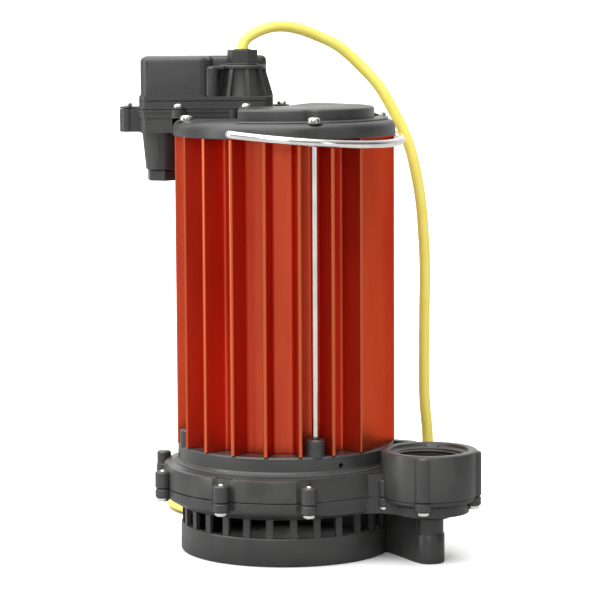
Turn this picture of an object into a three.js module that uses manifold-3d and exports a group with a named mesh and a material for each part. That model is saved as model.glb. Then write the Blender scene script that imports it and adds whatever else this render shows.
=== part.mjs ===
// Submersible sump pump: strainer base, volute with a threaded discharge, finned motor housing
// held by four tie rods, top cover with a swinging wire bail, and a switch box with its power cord.
// Millimetres, +Z up. The origin is on the motor's axis, at the floor. Bearings (angles about Z)
// are measured in degrees from the front, -Y, towards +X.
import * as THREE from 'three';
import Module from 'manifold-3d';
import { mergeVertices } from 'three/addons/utils/BufferGeometryUtils.js';

const wasm = await Module();
wasm.setup();

// ---- driving dimensions ----

const GAP = 0.35;                 // running and seating clearance between neighbouring pieces
const WELD = 1e-4;                // vertices nearer than this are one vertex
const FACETS = { large: 32, medium: 20, small: 8, hole: 6 };

const PARTING_Z = 43.6;           // top of the lower casing
const CUP = { radius: 70.8, wall: 4, floor: 4, rim: 19 };
const BARS = { count: 28, first: 3.85, width: 4.7, inner: 67.3, outer: 69.9, top: 32.6 };
const FLANGE = { radius: 82, top: 59.3, flatBearing: 30, flatDistance: 76.8 };
const NECK = { radius: 72.5, top: 72.4 };
const CHAMBER_RADIUS = 61;
const EYE_RADIUS = 20;
const BOSS = { circle: 84.3, radius: 5.2, bottom: 37.4, top: 55.2, hole: 2.35 };
const BOSS_BEARINGS = [-150, -101, -77, -30, 10, 50, 130, 170];
const TALL_BOSS = { bearing: -101, radius: 4.8, top: 63 };

const DISCHARGE = { x: 93.8, y: -49, radius: 31.8, top: 74, bore: 22.6, chamfer: 25.9 };
const LUG = { circle: 28.6, radius: 5.8, bearings: [-11, 82, 172] };
const LEG = { x: 94, y: -54, radius: 9.6, ledge: 19.5, neckRadius: 9.1 };

const HOUSING = { bottom: 72.75, top: 277.9, bore: 51, core: 55.5 };
const FINS = { count: 20, first: 7.5, tip: 73, tipHalf: 1.2, rootHalf: 1.6 };
const PAD = { from: 43.5, to: 88, wall: 3 };

const TIE_ROD = { circle: 67, first: 16.5, radius: 2.4, bottom: 77, headRadius: 4.4, headHeight: 3.2 };
const ROD_BOSS = { radius: 6.2, top: 83.6, hole: 3.1 };

const COVER = { radius: 74, bottom: 278.2, deck: 288.6, plateau: 296.8, plateauRadius: 60 };
const BAIL = { radius: 78.2, wire: 2.7, bearing: -28, z: 281.7, droop: 5.8, bend: 4, inner: 66 };
const BAIL_SOCKET = { radius: 3.05, depthTo: 62 };

const BOX = { left: -97.5, right: -7, front: 9, back: 58, corner: 7 };
const TRAY = { bottom: 279, shelf: 289, top: 294.4, wall: 3 };
const LID = { bottom: 294.75, ear: 296, shoulder: 302.8, top: 329.5, wall: 3 };
const DOME = { left: -96, step: -45, right: -12, front: 11, stepFront: 42, back: 57 };
const BOX_SCREWS = [[-70.5, 5], [-25.3, 5], [-105.6, 28], [-1.5, 51], [-70, 62], [-28, 62]];
const EAR_RADIUS = 5.2;

const GLAND = { x: -27.9, y: 32, boss: 15, foot: 20.4, flange: 15.7, bossTop: 321, top: 323.5 };
const NUT = { side: 10.5, bottom: 323.85, top: 333.6, bore: 6.6 };
const GROMMET = { outer: 6.25, inner: 4.2, bottom: 326, top: 333.9 };
const PORT = { x: -82.5, y: 34, top: 280, bottom: 253.2, upper: 13.6, lower: 11.2, bore: 8 };

const CORD_RADIUS = 3.8;
const COIL = { x: -28.5, y: 147.4, mean: 45.6, columns: 4, layers: 2, bottom: 1.3 };
const PLUG = { length: 42, width: 25, height: 22, bladeGap: 12.7 };

const SHAFT = { seal: 7.9, shoulder: 11.6, tail: 7.2, bottom: 41, lowerStep: 88.4, upperStep: 240, top: 262 };
const STACK = { bottom: 108, top: 208, stator: 50.6, airGap: 28.6, rotor: 28 };

// ---- geometry helpers ----

const radians = THREE.MathUtils.degToRad;

function polar(radius, bearing) {
  return [radius * Math.sin(radians(bearing)), -radius * Math.cos(radians(bearing))];
}

function signedVolume(vertices, triangles) {
  const [a, b, c] = [new THREE.Vector3(), new THREE.Vector3(), new THREE.Vector3()];
  let volume = 0;
  for (let i = 0; i < triangles.length; i += 3) {
    a.fromArray(vertices, 3 * triangles[i]);
    b.fromArray(vertices, 3 * triangles[i + 1]);
    c.fromArray(vertices, 3 * triangles[i + 2]);
    volume += a.dot(b.cross(c)) / 6;
  }
  return volume;
}

// A closed solid that can be joined and cut, with its faces turned outward.
function solid(geometry) {
  const bare = geometry.clone();
  bare.deleteAttribute('normal');
  bare.deleteAttribute('uv');
  const merged = mergeVertices(bare, WELD);
  const vertices = merged.getAttribute('position').array;
  const index = merged.getIndex().array;
  let triangles = [];
  for (let i = 0; i < index.length; i += 3) {
    const [a, b, c] = [index[i], index[i + 1], index[i + 2]];
    if (a !== b && b !== c && c !== a) {
      triangles.push(a, b, c);
    }
  }
  if (signedVolume(vertices, triangles) < 0) {
    triangles = triangles.reverse();
  }
  return new wasm.Manifold(new wasm.Mesh({
    numProp: 3,
    vertProperties: new Float32Array(vertices),
    triVerts: new Uint32Array(triangles),
  }));
}

function geometryOf(body) {
  const { vertProperties, triVerts } = body.getMesh();
  const geometry = new THREE.BufferGeometry();
  geometry.setAttribute('position', new THREE.BufferAttribute(new Float32Array(vertProperties), 3));
  geometry.setIndex([...triVerts]);
  geometry.computeVertexNormals();
  return geometry;
}

function joined(...geometries) {
  return geometryOf(geometries.map(solid).reduce((sum, next) => sum.add(next)));
}

function cut(geometry, ...tools) {
  return geometryOf(tools.map(solid).reduce((rest, tool) => rest.subtract(tool), solid(geometry)));
}

// Profile of [radius, z] pairs turned about a vertical axis at (x, y).
function turned(profile, segments = FACETS.large, x = 0, y = 0) {
  const points = profile.map(([r, z]) => new THREE.Vector2(r, z));
  const onAxis = profile[0][0] === 0 && profile.at(-1)[0] === 0;
  if (!onAxis) {
    points.push(points[0].clone());
  }
  return new THREE.LatheGeometry(points, segments).rotateX(Math.PI / 2).translate(x, y, 0);
}

function disc(radius, low, high, x = 0, y = 0, segments = FACETS.small) {
  return turned([[0, low], [radius, low], [radius, high], [0, high]], segments, x, y);
}

function ring(inner, outer, low, high, x = 0, y = 0, segments = FACETS.medium) {
  return turned([[inner, low], [outer, low], [outer, high], [inner, high]], segments, x, y);
}

function block(x0, x1, y0, y1, z0, z1) {
  const geometry = new THREE.BoxGeometry(x1 - x0, y1 - y0, z1 - z0);
  return geometry.translate((x0 + x1) / 2, (y0 + y1) / 2, (z0 + z1) / 2);
}

function prism(outline, low, high, holes = [], curveSegments = 3) {
  const shape = outline instanceof THREE.Shape ? outline : polygon(outline);
  shape.holes.push(...holes);
  const options = { depth: high - low, bevelEnabled: false, curveSegments };
  return new THREE.ExtrudeGeometry(shape, options).translate(0, 0, low);
}

function polygon(points) {
  return new THREE.Shape(points.map(([x, y]) => new THREE.Vector2(x, y)));
}

function circlePath(radius, segments) {
  const points = [];
  for (let i = 0; i < segments; i += 1) {
    const [x, y] = polar(radius, (360 * i) / segments);
    points.push(new THREE.Vector2(x, y));
  }
  return new THREE.Path(points);
}

function roundedRectangle(x0, x1, y0, y1, corner) {
  const shape = new THREE.Shape();
  shape.moveTo(x0 + corner, y0);
  shape.lineTo(x1 - corner, y0);
  shape.absarc(x1 - corner, y0 + corner, corner, -Math.PI / 2, 0);
  shape.lineTo(x1, y1 - corner);
  shape.absarc(x1 - corner, y1 - corner, corner, 0, Math.PI / 2);
  shape.lineTo(x0 + corner, y1);
  shape.absarc(x0 + corner, y1 - corner, corner, Math.PI / 2, Math.PI);
  shape.lineTo(x0, y0 + corner);
  shape.absarc(x0 + corner, y0 + corner, corner, Math.PI, 1.5 * Math.PI);
  return shape;
}

// A round bar along a curve.
function bar(path, radius, steps, sides = 10) {
  const section = new THREE.Shape(circlePath(radius, sides).getPoints());
  return new THREE.ExtrudeGeometry(section, { steps, bevelEnabled: false, extrudePath: path });
}

// ---- materials ----

function finish(color, roughness, metalness = 0) {
  return new THREE.MeshStandardMaterial({ color, roughness, metalness });
}

const blackCasting = () => finish(0x3a3b3a, 0.55);
const anodised = () => finish(0xb8432a, 0.35, 0.8);
const stainless = () => finish(0xc9c9c9, 0.25, 1);
const laminations = () => finish(0x6f7276, 0.5, 0.9);
const copper = () => finish(0xb5622f, 0.4, 0.9);
const bearingSteel = () => finish(0xa9adb1, 0.3, 1);
const blackRubber = () => finish(0x1c1c1c, 0.8);
const yellowJacket = () => finish(0xf4e04a, 0.45);
const ceramic = () => finish(0xe9e6df, 0.4);
const brass = () => finish(0xc8a550, 0.3, 1);
const aluminium = () => finish(0xb7babd, 0.4, 0.9);

const pump = new THREE.Group();
pump.name = 'submersible_sump_pump';

function add(name, geometry, material) {
  const part = new THREE.Mesh(geometry, material);
  part.name = name;
  pump.add(part);
  return part;
}

// ---- lower casing: strainer cup, bars, suction plate, bowl under the discharge, and leg ----

function screwCentres() {
  return BOSS_BEARINGS.map((bearing) => polar(BOSS.circle, bearing)).concat(lugCentres());
}

function bosses(low, high) {
  return screwCentres().map(([x, y]) => disc(BOSS.radius, low, high, x, y));
}

function screwHoles(low, high) {
  return screwCentres().map(([x, y]) => disc(BOSS.hole, low, high, x, y, FACETS.hole));
}

function headClearances() {
  return screwCentres().map(([x, y]) => disc(BOSS.radius, 30, BOSS.bottom, x, y));
}

function lugCentres() {
  return LUG.bearings.map((bearing) => {
    const [dx, dy] = polar(LUG.circle, bearing);
    return [DISCHARGE.x + dx, DISCHARGE.y + dy];
  });
}

// The flat that interrupts both flanges, a block standing outside the chord.
function flangeFlat() {
  const depth = 20;
  const tool = block(-60, 60, -FLANGE.flatDistance - depth, -FLANGE.flatDistance, 30, 64);
  return tool.rotateZ(radians(FLANGE.flatBearing));
}

function strainerBars() {
  const bars = [];
  for (let k = 0; k < BARS.count; k += 1) {
    const half = BARS.width / 2;
    const upright = block(-half, half, -BARS.outer, -BARS.inner, CUP.rim - 1, BARS.top);
    bars.push(upright.rotateZ(radians(BARS.first + (360 * k) / BARS.count)));
  }
  return bars;
}

function lowerDuct() {
  const outline = [[45, -50], [60, -47], [72, -52], [80, -66], [94, -70], [108, -49], [98, -24], [82, 0], [60, 8]];
  return prism(outline, 32.6, PARTING_Z);
}

function lowerDuctPassage() {
  const outline = [[52, -46], [70, -48], [86, -58], [102, -50], [94, -32], [60, -24]];
  return prism(outline, 38.5, PARTING_Z + 1);
}

function lowerCasing() {
  const cup = turned([
    [0, 0], [CUP.radius - 1.5, 0], [CUP.radius, 1.5], [CUP.radius, CUP.rim],
    [CUP.radius - CUP.wall, CUP.rim], [CUP.radius - CUP.wall, CUP.floor], [0, CUP.floor],
  ]);
  const suctionPlate = cut(turned([
    [EYE_RADIUS, 32], [72.8, 32], [FLANGE.radius, 38.5], [FLANGE.radius, PARTING_Z],
    [CHAMBER_RADIUS, PARTING_Z], [57, 38.5], [EYE_RADIUS, 38.5],
  ]), flangeFlat());
  const bowl = turned([
    [0, 26.5], [14, 29.3], [21.2, 33.4], [27.5, 40.5], [30.8, 40.8], [30.8, PARTING_Z], [0, PARTING_Z],
  ], FACETS.medium, DISCHARGE.x, DISCHARGE.y);
  const leg = turned([
    [0, 0], [LEG.radius - 0.8, 0], [LEG.radius, 0.8], [LEG.radius, LEG.ledge],
    [LEG.neckRadius, LEG.ledge], [LEG.neckRadius, 34], [0, 34],
  ], 16, LEG.x, LEG.y);
  const web = prism([[66, -22], [69.5, -27], [85, -57.5], [94, -54], [93, -46], [72, -13], [68, -12]], 0, 34);
  const body = joined(cup, ...strainerBars(), suctionPlate, lowerDuct(), bowl, leg, web);
  const sealGroove = ring(65.7, 68.3, PARTING_Z - 2, PARTING_Z + 1);
  const bowlHollow = turned([
    [0, 31], [13, 33], [22, 41], [22, PARTING_Z + 1], [0, PARTING_Z + 1],
  ], FACETS.medium, DISCHARGE.x, DISCHARGE.y);
  const chamber = disc(57, 38.5, PARTING_Z + 1, 0, 0, FACETS.large);
  const bossed = joined(cut(body, ...headClearances()), ...bosses(BOSS.bottom, PARTING_Z));
  return cut(bossed, sealGroove, bowlHollow, lowerDuctPassage(), chamber,
    ...screwHoles(BOSS.bottom - 1, PARTING_Z + 1));
}

// ---- upper casing: flange, neck, duct, threaded discharge and the tie-rod bosses ----

function upperCasing() {
  const base = PARTING_Z + GAP;
  const wallLow = 57;
  const wallHigh = 61;
  const flange = cut(turned([
    [CHAMBER_RADIUS, base], [FLANGE.radius, base], [FLANGE.radius, FLANGE.top - 1.5],
    [FLANGE.radius - 1.5, FLANGE.top], [74, 60.1], [CHAMBER_RADIUS, 60.1],
  ]), flangeFlat());
  const neck = turned([
    [16, wallLow], [NECK.radius, wallLow], [NECK.radius, NECK.top], [49, NECK.top], [49, wallHigh],
    [16, wallHigh],
  ]);
  const duct = prism([
    [44, -61], [50, -57.3], [62, -56.8], [75, -66], [94, -76], [112, -49], [98, -20], [84, 2], [60, 10],
  ], base, 58.9);
  const gusset = prism([[70, 9], [86, 1], [99, -19], [93, -21], [82, -4], [70, 3]], 57, 71.4);
  const mouth = turned([
    [0, base], [DISCHARGE.radius, base], [DISCHARGE.radius, DISCHARGE.top - 1.2],
    [DISCHARGE.radius - 1.2, DISCHARGE.top], [0, DISCHARGE.top],
  ], FACETS.large, DISCHARGE.x, DISCHARGE.y);
  const lugs = lugCentres().map(([x, y]) => disc(LUG.radius, base, DISCHARGE.top - 0.8, x, y));
  const rodBosses = rodCentres().map(([x, y]) => disc(ROD_BOSS.radius, NECK.top - 1, ROD_BOSS.top, x, y));
  const [tallX, tallY] = polar(BOSS.circle, TALL_BOSS.bearing);
  const tallBoss = disc(TALL_BOSS.radius, BOSS.top - 2, TALL_BOSS.top, tallX, tallY);
  const body = joined(flange, neck, duct, gusset, mouth, ...lugs, ...rodBosses,
    ...bosses(base, BOSS.top), tallBoss);

  const bore = turned([
    [0, base - 1], [DISCHARGE.bore - 0.6, base - 1], [DISCHARGE.bore, 71], [DISCHARGE.chamfer, DISCHARGE.top],
    [DISCHARGE.chamfer, DISCHARGE.top + 1], [0, DISCHARGE.top + 1],
  ], FACETS.large, DISCHARGE.x, DISCHARGE.y);
  const passage = prism([[48, -46], [70, -48], [86, -58], [102, -50], [94, -32], [56, -24]], base - 1, 55.5);
  const chamber = disc(CHAMBER_RADIUS, base - 1, wallLow, 0, 0, FACETS.large);
  const ringGroove = ring(51.9, 55.1, NECK.top - 1.8, NECK.top + 1);
  const rodHoles = rodCentres().map(([x, y]) => disc(ROD_BOSS.hole, TIE_ROD.bottom - 1, 90, x, y, FACETS.hole));
  const [weepX, weepY] = polar(65, FLANGE.flatBearing - 0.5);
  const weep = new THREE.CylinderGeometry(1.7, 1.7, 24, FACETS.hole);
  weep.rotateZ(radians(FLANGE.flatBearing - 0.5)).translate(weepX, weepY, 65.6);
  return cut(body, bore, passage, chamber, ringGroove, weep, ...rodHoles,
    ...screwHoles(base - 1, BOSS.top + 1));
}

// A pan-head screw driven upward from below: head, shank and tip.
function casingScrew(x, y) {
  const headRadius = 4.1;
  const shank = 1.95;
  const seat = BOSS.bottom - 0.3;
  const tip = BOSS.top + 0.6;
  return turned([
    [0, seat - 2.3], [3, seat - 2], [headRadius, seat - 0.8], [headRadius, seat], [shank, seat],
    [shank, tip], [0, tip],
  ], FACETS.small, x, y);
}

// ---- finned motor housing ----

function rodCentres() {
  return [0, 1, 2, 3].map((k) => polar(TIE_ROD.circle, TIE_ROD.first + 90 * k));
}

// Corners of the housing's section, once around; the flat pad takes the place of two fins.
function housingOutline() {
  const points = [];
  const pitch = 360 / FINS.count;
  const halfAngle = (half, radius) => THREE.MathUtils.radToDeg(half / radius);
  for (let k = 0; k < FINS.count; k += 1) {
    const bearing = FINS.first + pitch * k;
    const isPad = bearing > PAD.from + 1 && bearing < PAD.to;
    if (!isPad) {
      const closesPad = Math.abs(bearing - PAD.from) < 1;
      points.push(polar(HOUSING.core, bearing - halfAngle(FINS.rootHalf, HOUSING.core)));
      points.push(polar(FINS.tip, bearing - halfAngle(FINS.tipHalf, FINS.tip)));
      points.push(polar(FINS.tip, bearing + halfAngle(FINS.tipHalf, FINS.tip)));
      if (closesPad) {
        points.push(polar(FINS.tip, PAD.to));
        points.push(polar(HOUSING.core, PAD.to + 0.5));
      } else {
        points.push(polar(HOUSING.core, bearing + halfAngle(FINS.rootHalf, HOUSING.core)));
        points.push(polar(HOUSING.core, bearing + pitch / 2));
      }
    }
  }
  return points;
}

// The hollow behind the pad, between its chord and the core.
function padChannel() {
  const points = [47, 57, 67, 77, 85].map((bearing) => polar(HOUSING.core + 0.2, bearing));
  const chordDistance = FINS.tip * Math.cos(radians((PAD.to - PAD.from) / 2)) - PAD.wall;
  const middle = (PAD.from + PAD.to) / 2;
  for (const bearing of [85, 47]) {
    points.push(polar(chordDistance / Math.cos(radians(bearing - middle)), bearing));
  }
  return new THREE.Path(points.map(([x, y]) => new THREE.Vector2(x, y)));
}

function motorHousing() {
  const bore = circlePath(HOUSING.bore, 48);
  return prism(housingOutline(), HOUSING.bottom, HOUSING.top, [bore, padChannel()]);
}

function tieRod(x, y) {
  const seat = COVER.deck + GAP;
  const crown = seat + TIE_ROD.headHeight;
  return turned([
    [0, TIE_ROD.bottom], [TIE_ROD.radius, TIE_ROD.bottom], [TIE_ROD.radius, seat],
    [TIE_ROD.headRadius, seat], [TIE_ROD.headRadius, crown - 1], [3, crown], [0, crown],
  ], FACETS.small, x, y);
}

// ---- top cover and its bail ----

// Where the switch box sits, the plateau stops short along this outline.
function plateauCutaway() {
  return prism([[-75, -75], [-30, -75], [-30, -4], [-2, 2], [12, 44], [24, 70], [-75, 75]], COVER.deck, 310);
}

function bailAxis() {
  return new THREE.Vector3(...polar(1, BAIL.bearing), 0);
}

function bailSocket(side) {
  const reach = 14;
  const socket = new THREE.CylinderGeometry(BAIL_SOCKET.radius, BAIL_SOCKET.radius, reach, 12);
  socket.rotateZ(radians(BAIL.bearing));
  const centre = bailAxis().multiplyScalar(side * (BAIL_SOCKET.depthTo + reach / 2));
  return socket.translate(centre.x, centre.y, BAIL.z);
}

function topCover() {
  const deck = COVER.deck;
  const shell = turned([
    [0, 284], [46, 284], [46, 272], [50.4, 272], [50.4, COVER.bottom], [COVER.radius, COVER.bottom],
    [COVER.radius, 283.4], [72.4, 287.1], [69, deck], [0, deck],
  ]);
  const edge = COVER.plateau;
  const plateau = cut(turned([
    [0, deck - 1], [COVER.plateauRadius, deck - 1], [COVER.plateauRadius, edge - 4.2],
    [COVER.plateauRadius - 1.3, edge - 1.4], [COVER.plateauRadius - 4.2, edge], [0, edge],
  ]), plateauCutaway());
  const pockets = rodCentres().map(([x, y]) => disc(6.6, deck, 310, x, y));
  const rodHoles = rodCentres().map(([x, y]) => disc(ROD_BOSS.hole, 270, 310, x, y, FACETS.hole));
  const ringGroove = ring(51.9, 55.1, COVER.bottom - 1, COVER.bottom + 1.8);
  return cut(joined(shell, plateau), ...pockets, ...rodHoles, ringGroove, bailSocket(1), bailSocket(-1));
}

// Wire centre line: into one socket, round a half circle, and into the other socket.
function bailPath() {
  const along = bailAxis();
  const outward = new THREE.Vector3(...polar(1, BAIL.bearing + 90), 0);
  outward.applyAxisAngle(along, -radians(BAIL.droop));
  const at = (u, v) => new THREE.Vector3(0, 0, BAIL.z).addScaledVector(along, u).addScaledVector(outward, v);
  const { radius, bend, inner } = BAIL;
  const firstAngle = Math.asin(bend / radius);
  const half = [at(inner, 0), at(radius - bend, 0)];
  for (const step of [30, 60]) {
    const turn = radians(step);
    half.push(at(radius - bend + bend * Math.sin(turn), bend - bend * Math.cos(turn)));
  }
  const arc = [];
  const count = 20;
  for (let i = 0; i <= count; i += 1) {
    const angle = firstAngle + ((Math.PI - 2 * firstAngle) * i) / count;
    arc.push(at(radius * Math.cos(angle), radius * Math.sin(angle)));
  }
  const otherHalf = [
    at(bend - radius - bend * Math.sin(radians(60)), bend / 2),
    at(bend - radius - bend / 2, bend - bend * Math.cos(radians(30))),
    at(bend - radius, 0),
    at(-inner, 0),
  ];
  return new THREE.CatmullRomCurve3([...half, ...arc, ...otherHalf]);
}

// ---- switch box on the cover ----

function earDiscs(low, high, radius) {
  return BOX_SCREWS.map(([x, y]) => disc(radius, low, high, x, y));
}

function earBridges(low, high) {
  return BOX_SCREWS.map(([x, y]) => {
    const insideX = THREE.MathUtils.clamp(x, BOX.left + 6, BOX.right - 6);
    const insideY = THREE.MathUtils.clamp(y, BOX.front + 6, BOX.back - 6);
    const half = EAR_RADIUS - 0.6;
    return x === insideX
      ? block(x - half, x + half, Math.min(y, insideY), Math.max(y, insideY), low, high)
      : block(Math.min(x, insideX), Math.max(x, insideX), y - half, y + half, low, high);
  });
}

function boxOutline(inset = 0) {
  return roundedRectangle(BOX.left + inset, BOX.right - inset, BOX.front + inset, BOX.back - inset,
    BOX.corner - inset / 2);
}

function boxTray() {
  const inset = TRAY.wall;
  const shelf = prism(boxOutline(), TRAY.shelf, TRAY.top);
  const well = prism(boxOutline(), TRAY.bottom, TRAY.shelf + 1);
  const port = turned([
    [0, PORT.bottom], [PORT.lower, PORT.bottom], [PORT.upper, PORT.top], [0, PORT.top],
  ], 16, PORT.x, PORT.y);
  const clearance = disc(COVER.radius + 0.5, 270, TRAY.shelf, 0, 0, FACETS.large);
  const ears = [...earDiscs(TRAY.bottom, TRAY.top, EAR_RADIUS), ...earBridges(TRAY.bottom, TRAY.top)];
  const body = cut(joined(shelf, well, port, ...ears), clearance);
  const shallow = prism(boxOutline(inset), 291.2, 300);
  const deep = block(-94.5, -79, BOX.front + inset + 2, BOX.back - inset - 2, 282, 292);
  const bore = disc(PORT.bore, 250, 283, PORT.x, PORT.y, 12);
  return cut(body, shallow, deep, bore, ...earDiscs(289.5, 300, 1.75));
}

function domeOutline(inset) {
  const { left, step, right, front, stepFront, back } = DOME;
  return polygon([
    [left + inset, front + 6 + inset / 2], [left + 2 + inset, front + 1.5 + inset], [left + 7, front + inset],
    [step - 7, front + inset], [step - 2 - inset, front + 2 + inset], [step - inset, front + 7],
    [step - inset, stepFront + inset], [right - inset, stepFront + inset], [right - inset, back - inset],
    [left + inset, back - inset],
  ]);
}

function boxLid() {
  const { bottom, shoulder, top, wall } = LID;
  const skirt = prism(boxOutline(0.4), bottom, shoulder);
  const dome = prism(domeOutline(0), shoulder - 1, top - 3);
  const crown = prism(domeOutline(2.2), top - 4, top);
  const { x, y } = GLAND;
  const boss = turned([
    [0, shoulder - 1], [GLAND.foot, shoulder - 1], [GLAND.boss - 1, GLAND.bossTop],
    [GLAND.flange, GLAND.bossTop], [GLAND.flange, GLAND.top], [0, GLAND.top],
  ], FACETS.medium, x, y);
  const ears = [...earDiscs(bottom, LID.ear, EAR_RADIUS), ...earBridges(bottom, LID.ear)];
  const body = joined(skirt, dome, crown, boss, ...ears);
  const skirtHollow = prism(boxOutline(wall), bottom - 1, shoulder - 2.5);
  const domeHollow = prism(domeOutline(wall + 1), bottom, top - 3.5);
  const cordHole = disc(7, bottom, GLAND.top + 1, x, y, 12);
  return cut(body, skirtHollow, domeHollow, cordHole, ...earDiscs(bottom - 1, LID.ear + 1, 1.95));
}

function lidScrew(x, y) {
  const seat = LID.ear + 0.3;
  return turned([
    [0, 289.9], [1.4, 289.9], [1.4, seat], [3.1, seat], [3.1, seat + 1.2], [2, seat + 2.2], [0, seat + 2.2],
  ], FACETS.small, x, y);
}

function glandNut() {
  const corners = [];
  for (let k = 0; k < 6; k += 1) {
    const [dx, dy] = polar(NUT.side, 20 + 60 * k);
    corners.push([GLAND.x + dx, GLAND.y + dy]);
  }
  return cut(prism(corners, NUT.bottom, NUT.top), disc(NUT.bore, 300, 340, GLAND.x, GLAND.y, 16));
}

function portPlug() {
  const corners = [];
  for (let k = 0; k < 6; k += 1) {
    const [dx, dy] = polar(11, 10 + 60 * k);
    corners.push([PORT.x + dx, PORT.y + dy]);
  }
  const head = prism(corners, 245.8, PORT.bottom - GAP);
  return joined(head, disc(PORT.bore - 2 * GAP, 252, 266, PORT.x, PORT.y, 12));
}

// ---- motor, seal and impeller inside ----

function impeller() {
  const hub = ring(SHAFT.seal + GAP, 14, 42.5, 50.4, 0, 0, 20);
  const shroud = ring(13, 52, 46.5, 49.5);
  const vanes = [];
  for (let k = 0; k < 5; k += 1) {
    const outer = [];
    const inner = [];
    for (let i = 0; i <= 3; i += 1) {
      const radius = 22 + (28 * i) / 3;
      const sweep = 72 * k - 25 * i;
      outer.push(polar(radius, sweep));
      inner.unshift(polar(radius - 0.6, sweep + 150 / radius));
    }
    vanes.push(prism([...outer, ...inner], 40.2, 47));
  }
  return joined(hub, shroud, ...vanes);
}

function sealSpring() {
  const points = [];
  for (let i = 0; i <= 24; i += 1) {
    const [x, y] = polar(10.6, 30 * i);
    points.push(new THREE.Vector3(x, y, 51.1 + (2.2 * i) / 24));
  }
  return bar(new THREE.CatmullRomCurve3(points), 0.45, 24, 6);
}

function lowerBracket() {
  return turned([
    [14, 61.4], [48.6, 61.4], [48.6, 73.1], [50.6, 73.1], [50.6, 82], [46, 82], [46, 76],
    [26, 76], [26, 87.5], [20.4, 87.5], [20.4, 75.6], [14, 75.6],
  ], FACETS.medium);
}

function upperBracket() {
  return turned([
    [17.85, 240.8], [24, 240.8], [24, 246], [50.6, 246], [50.6, 256], [14, 256], [14, 253.4], [17.85, 253.4],
  ], FACETS.medium);
}

function shaft() {
  const { seal, shoulder, tail, bottom, lowerStep, upperStep, top } = SHAFT;
  return turned([
    [0, bottom], [seal, bottom], [seal, lowerStep], [shoulder, lowerStep], [shoulder, upperStep],
    [tail, upperStep], [tail, top], [0, top],
  ], 16);
}

function winding(low, high) {
  return turned([
    [31, low + 3], [34, low], [43, low], [46, low + 3], [46, high - 4], [42, high], [35, high], [31, high - 4],
  ], FACETS.medium);
}

// ---- cord, coil and plug ----

// From the gland, over in an arch, down behind the discharge and along the floor to the coil.
const CORD_ROUTE = [
  [-27.9, 32, 334.3], [-27, 32.4, 338.2], [-24.6, 33.7, 341.4], [-20.4, 36.1, 344.2], [-13.2, 40, 347.3],
  [-3.1, 46, 349], [9.1, 51, 347.4], [23.5, 57, 342.1], [35.1, 60, 336.6], [42.7, 61.5, 331],
  [54.3, 62, 320], [64.2, 62, 309], [71.1, 62, 298.1], [77, 62, 287], [82.4, 62, 276], [86.5, 61.8, 265],
  [89.3, 61.5, 254], [93.4, 61, 231.9], [95.8, 60.5, 204.3], [96.7, 60, 180], [96.4, 60, 154.3],
  [96.2, 60.2, 128], [96.1, 60.5, 103.9], [96.8, 61, 87], [98.5, 62.4, 68], [98.9, 65.5, 47],
  [96.4, 72, 27.5], [89.5, 80.5, 13.5], [78, 87.2, 6], [62, 91.2, 4.1], [45, 92.2, 4.1], [28, 91.4, 4.3],
  [12, 90.6, 4.8], [3, 90.4, 5.1],
].map((point) => new THREE.Vector3(...point));

const PLUG_HEADING = 30;          // degrees from +X towards -Y along which the free end lies

function tailPoint(distance, z) {
  const exit = radians(60);
  const [dx, dy] = [Math.sin(exit), -Math.cos(exit)];
  const outer = COIL.mean + (COIL.columns - 1) * CORD_RADIUS;
  const x = COIL.x + outer * Math.cos(exit) + distance * dx;
  const y = COIL.y + outer * Math.sin(exit) + distance * dy;
  return new THREE.Vector3(x, y, z);
}

function coilRing() {
  const half = COIL.columns * CORD_RADIUS;
  const height = 2 * COIL.layers * CORD_RADIUS;
  return ring(COIL.mean - half, COIL.mean + half, COIL.bottom, COIL.bottom + height, COIL.x, COIL.y);
}

// A strap around the coil's section at the side away from the pump.
function coilTie() {
  const half = COIL.columns * CORD_RADIUS + 1;
  const top = COIL.bottom + 2 * COIL.layers * CORD_RADIUS + 0.35;
  const centre = COIL.x + COIL.mean;
  const width = 5;
  const outer = block(centre - half - 0.8, centre + half + 0.8, COIL.y - width, COIL.y + width, 0.1, top + 0.8);
  const inner = block(centre - half - 0.3, centre + half + 0.3, COIL.y - 9, COIL.y + 9, COIL.bottom - 0.35, top);
  return cut(outer, inner);
}

const PLUG_START = tailPoint(62, 11.6);

// Pieces of the plug are drawn along +X from its cord end, then laid along the free end's heading.
function onPlug(geometry) {
  return geometry.rotateZ(-radians(PLUG_HEADING)).translate(PLUG_START.x, PLUG_START.y, PLUG_START.z);
}

function plugBody() {
  const { length, width, height } = PLUG;
  const half = width / 2;
  const outline = polygon([
    [0.3, -4.6], [14, -6], [20, -half + 1], [24, -half], [length, -half],
    [length, half], [24, half], [20, half - 1], [14, 6], [0.3, 4.6],
  ]);
  return onPlug(prism(outline, -height / 2, height / 2));
}

function plugBlade(side) {
  const offset = (side * PLUG.bladeGap) / 2;
  const start = PLUG.length + 0.3;
  return onPlug(block(start, start + 16, offset - 0.75, offset + 0.75, -6, 0.4));
}

function groundPin() {
  const pin = new THREE.CylinderGeometry(2.4, 2.4, 19, 12).rotateZ(Math.PI / 2);
  return onPlug(pin.translate(PLUG.length + 0.3 + 9.5, 0, 5.6));
}

// ---- the assembly ----

add('strainer_base', lowerCasing(), blackCasting());
add('volute_casing', upperCasing(), blackCasting());
add('volute_gasket', ring(66, 68, PARTING_Z - 1.7, PARTING_Z + 0.05), blackRubber());

screwCentres().forEach(([x, y], i) => add(`volute_screw_${i + 1}`, casingScrew(x, y), stainless()));

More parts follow.
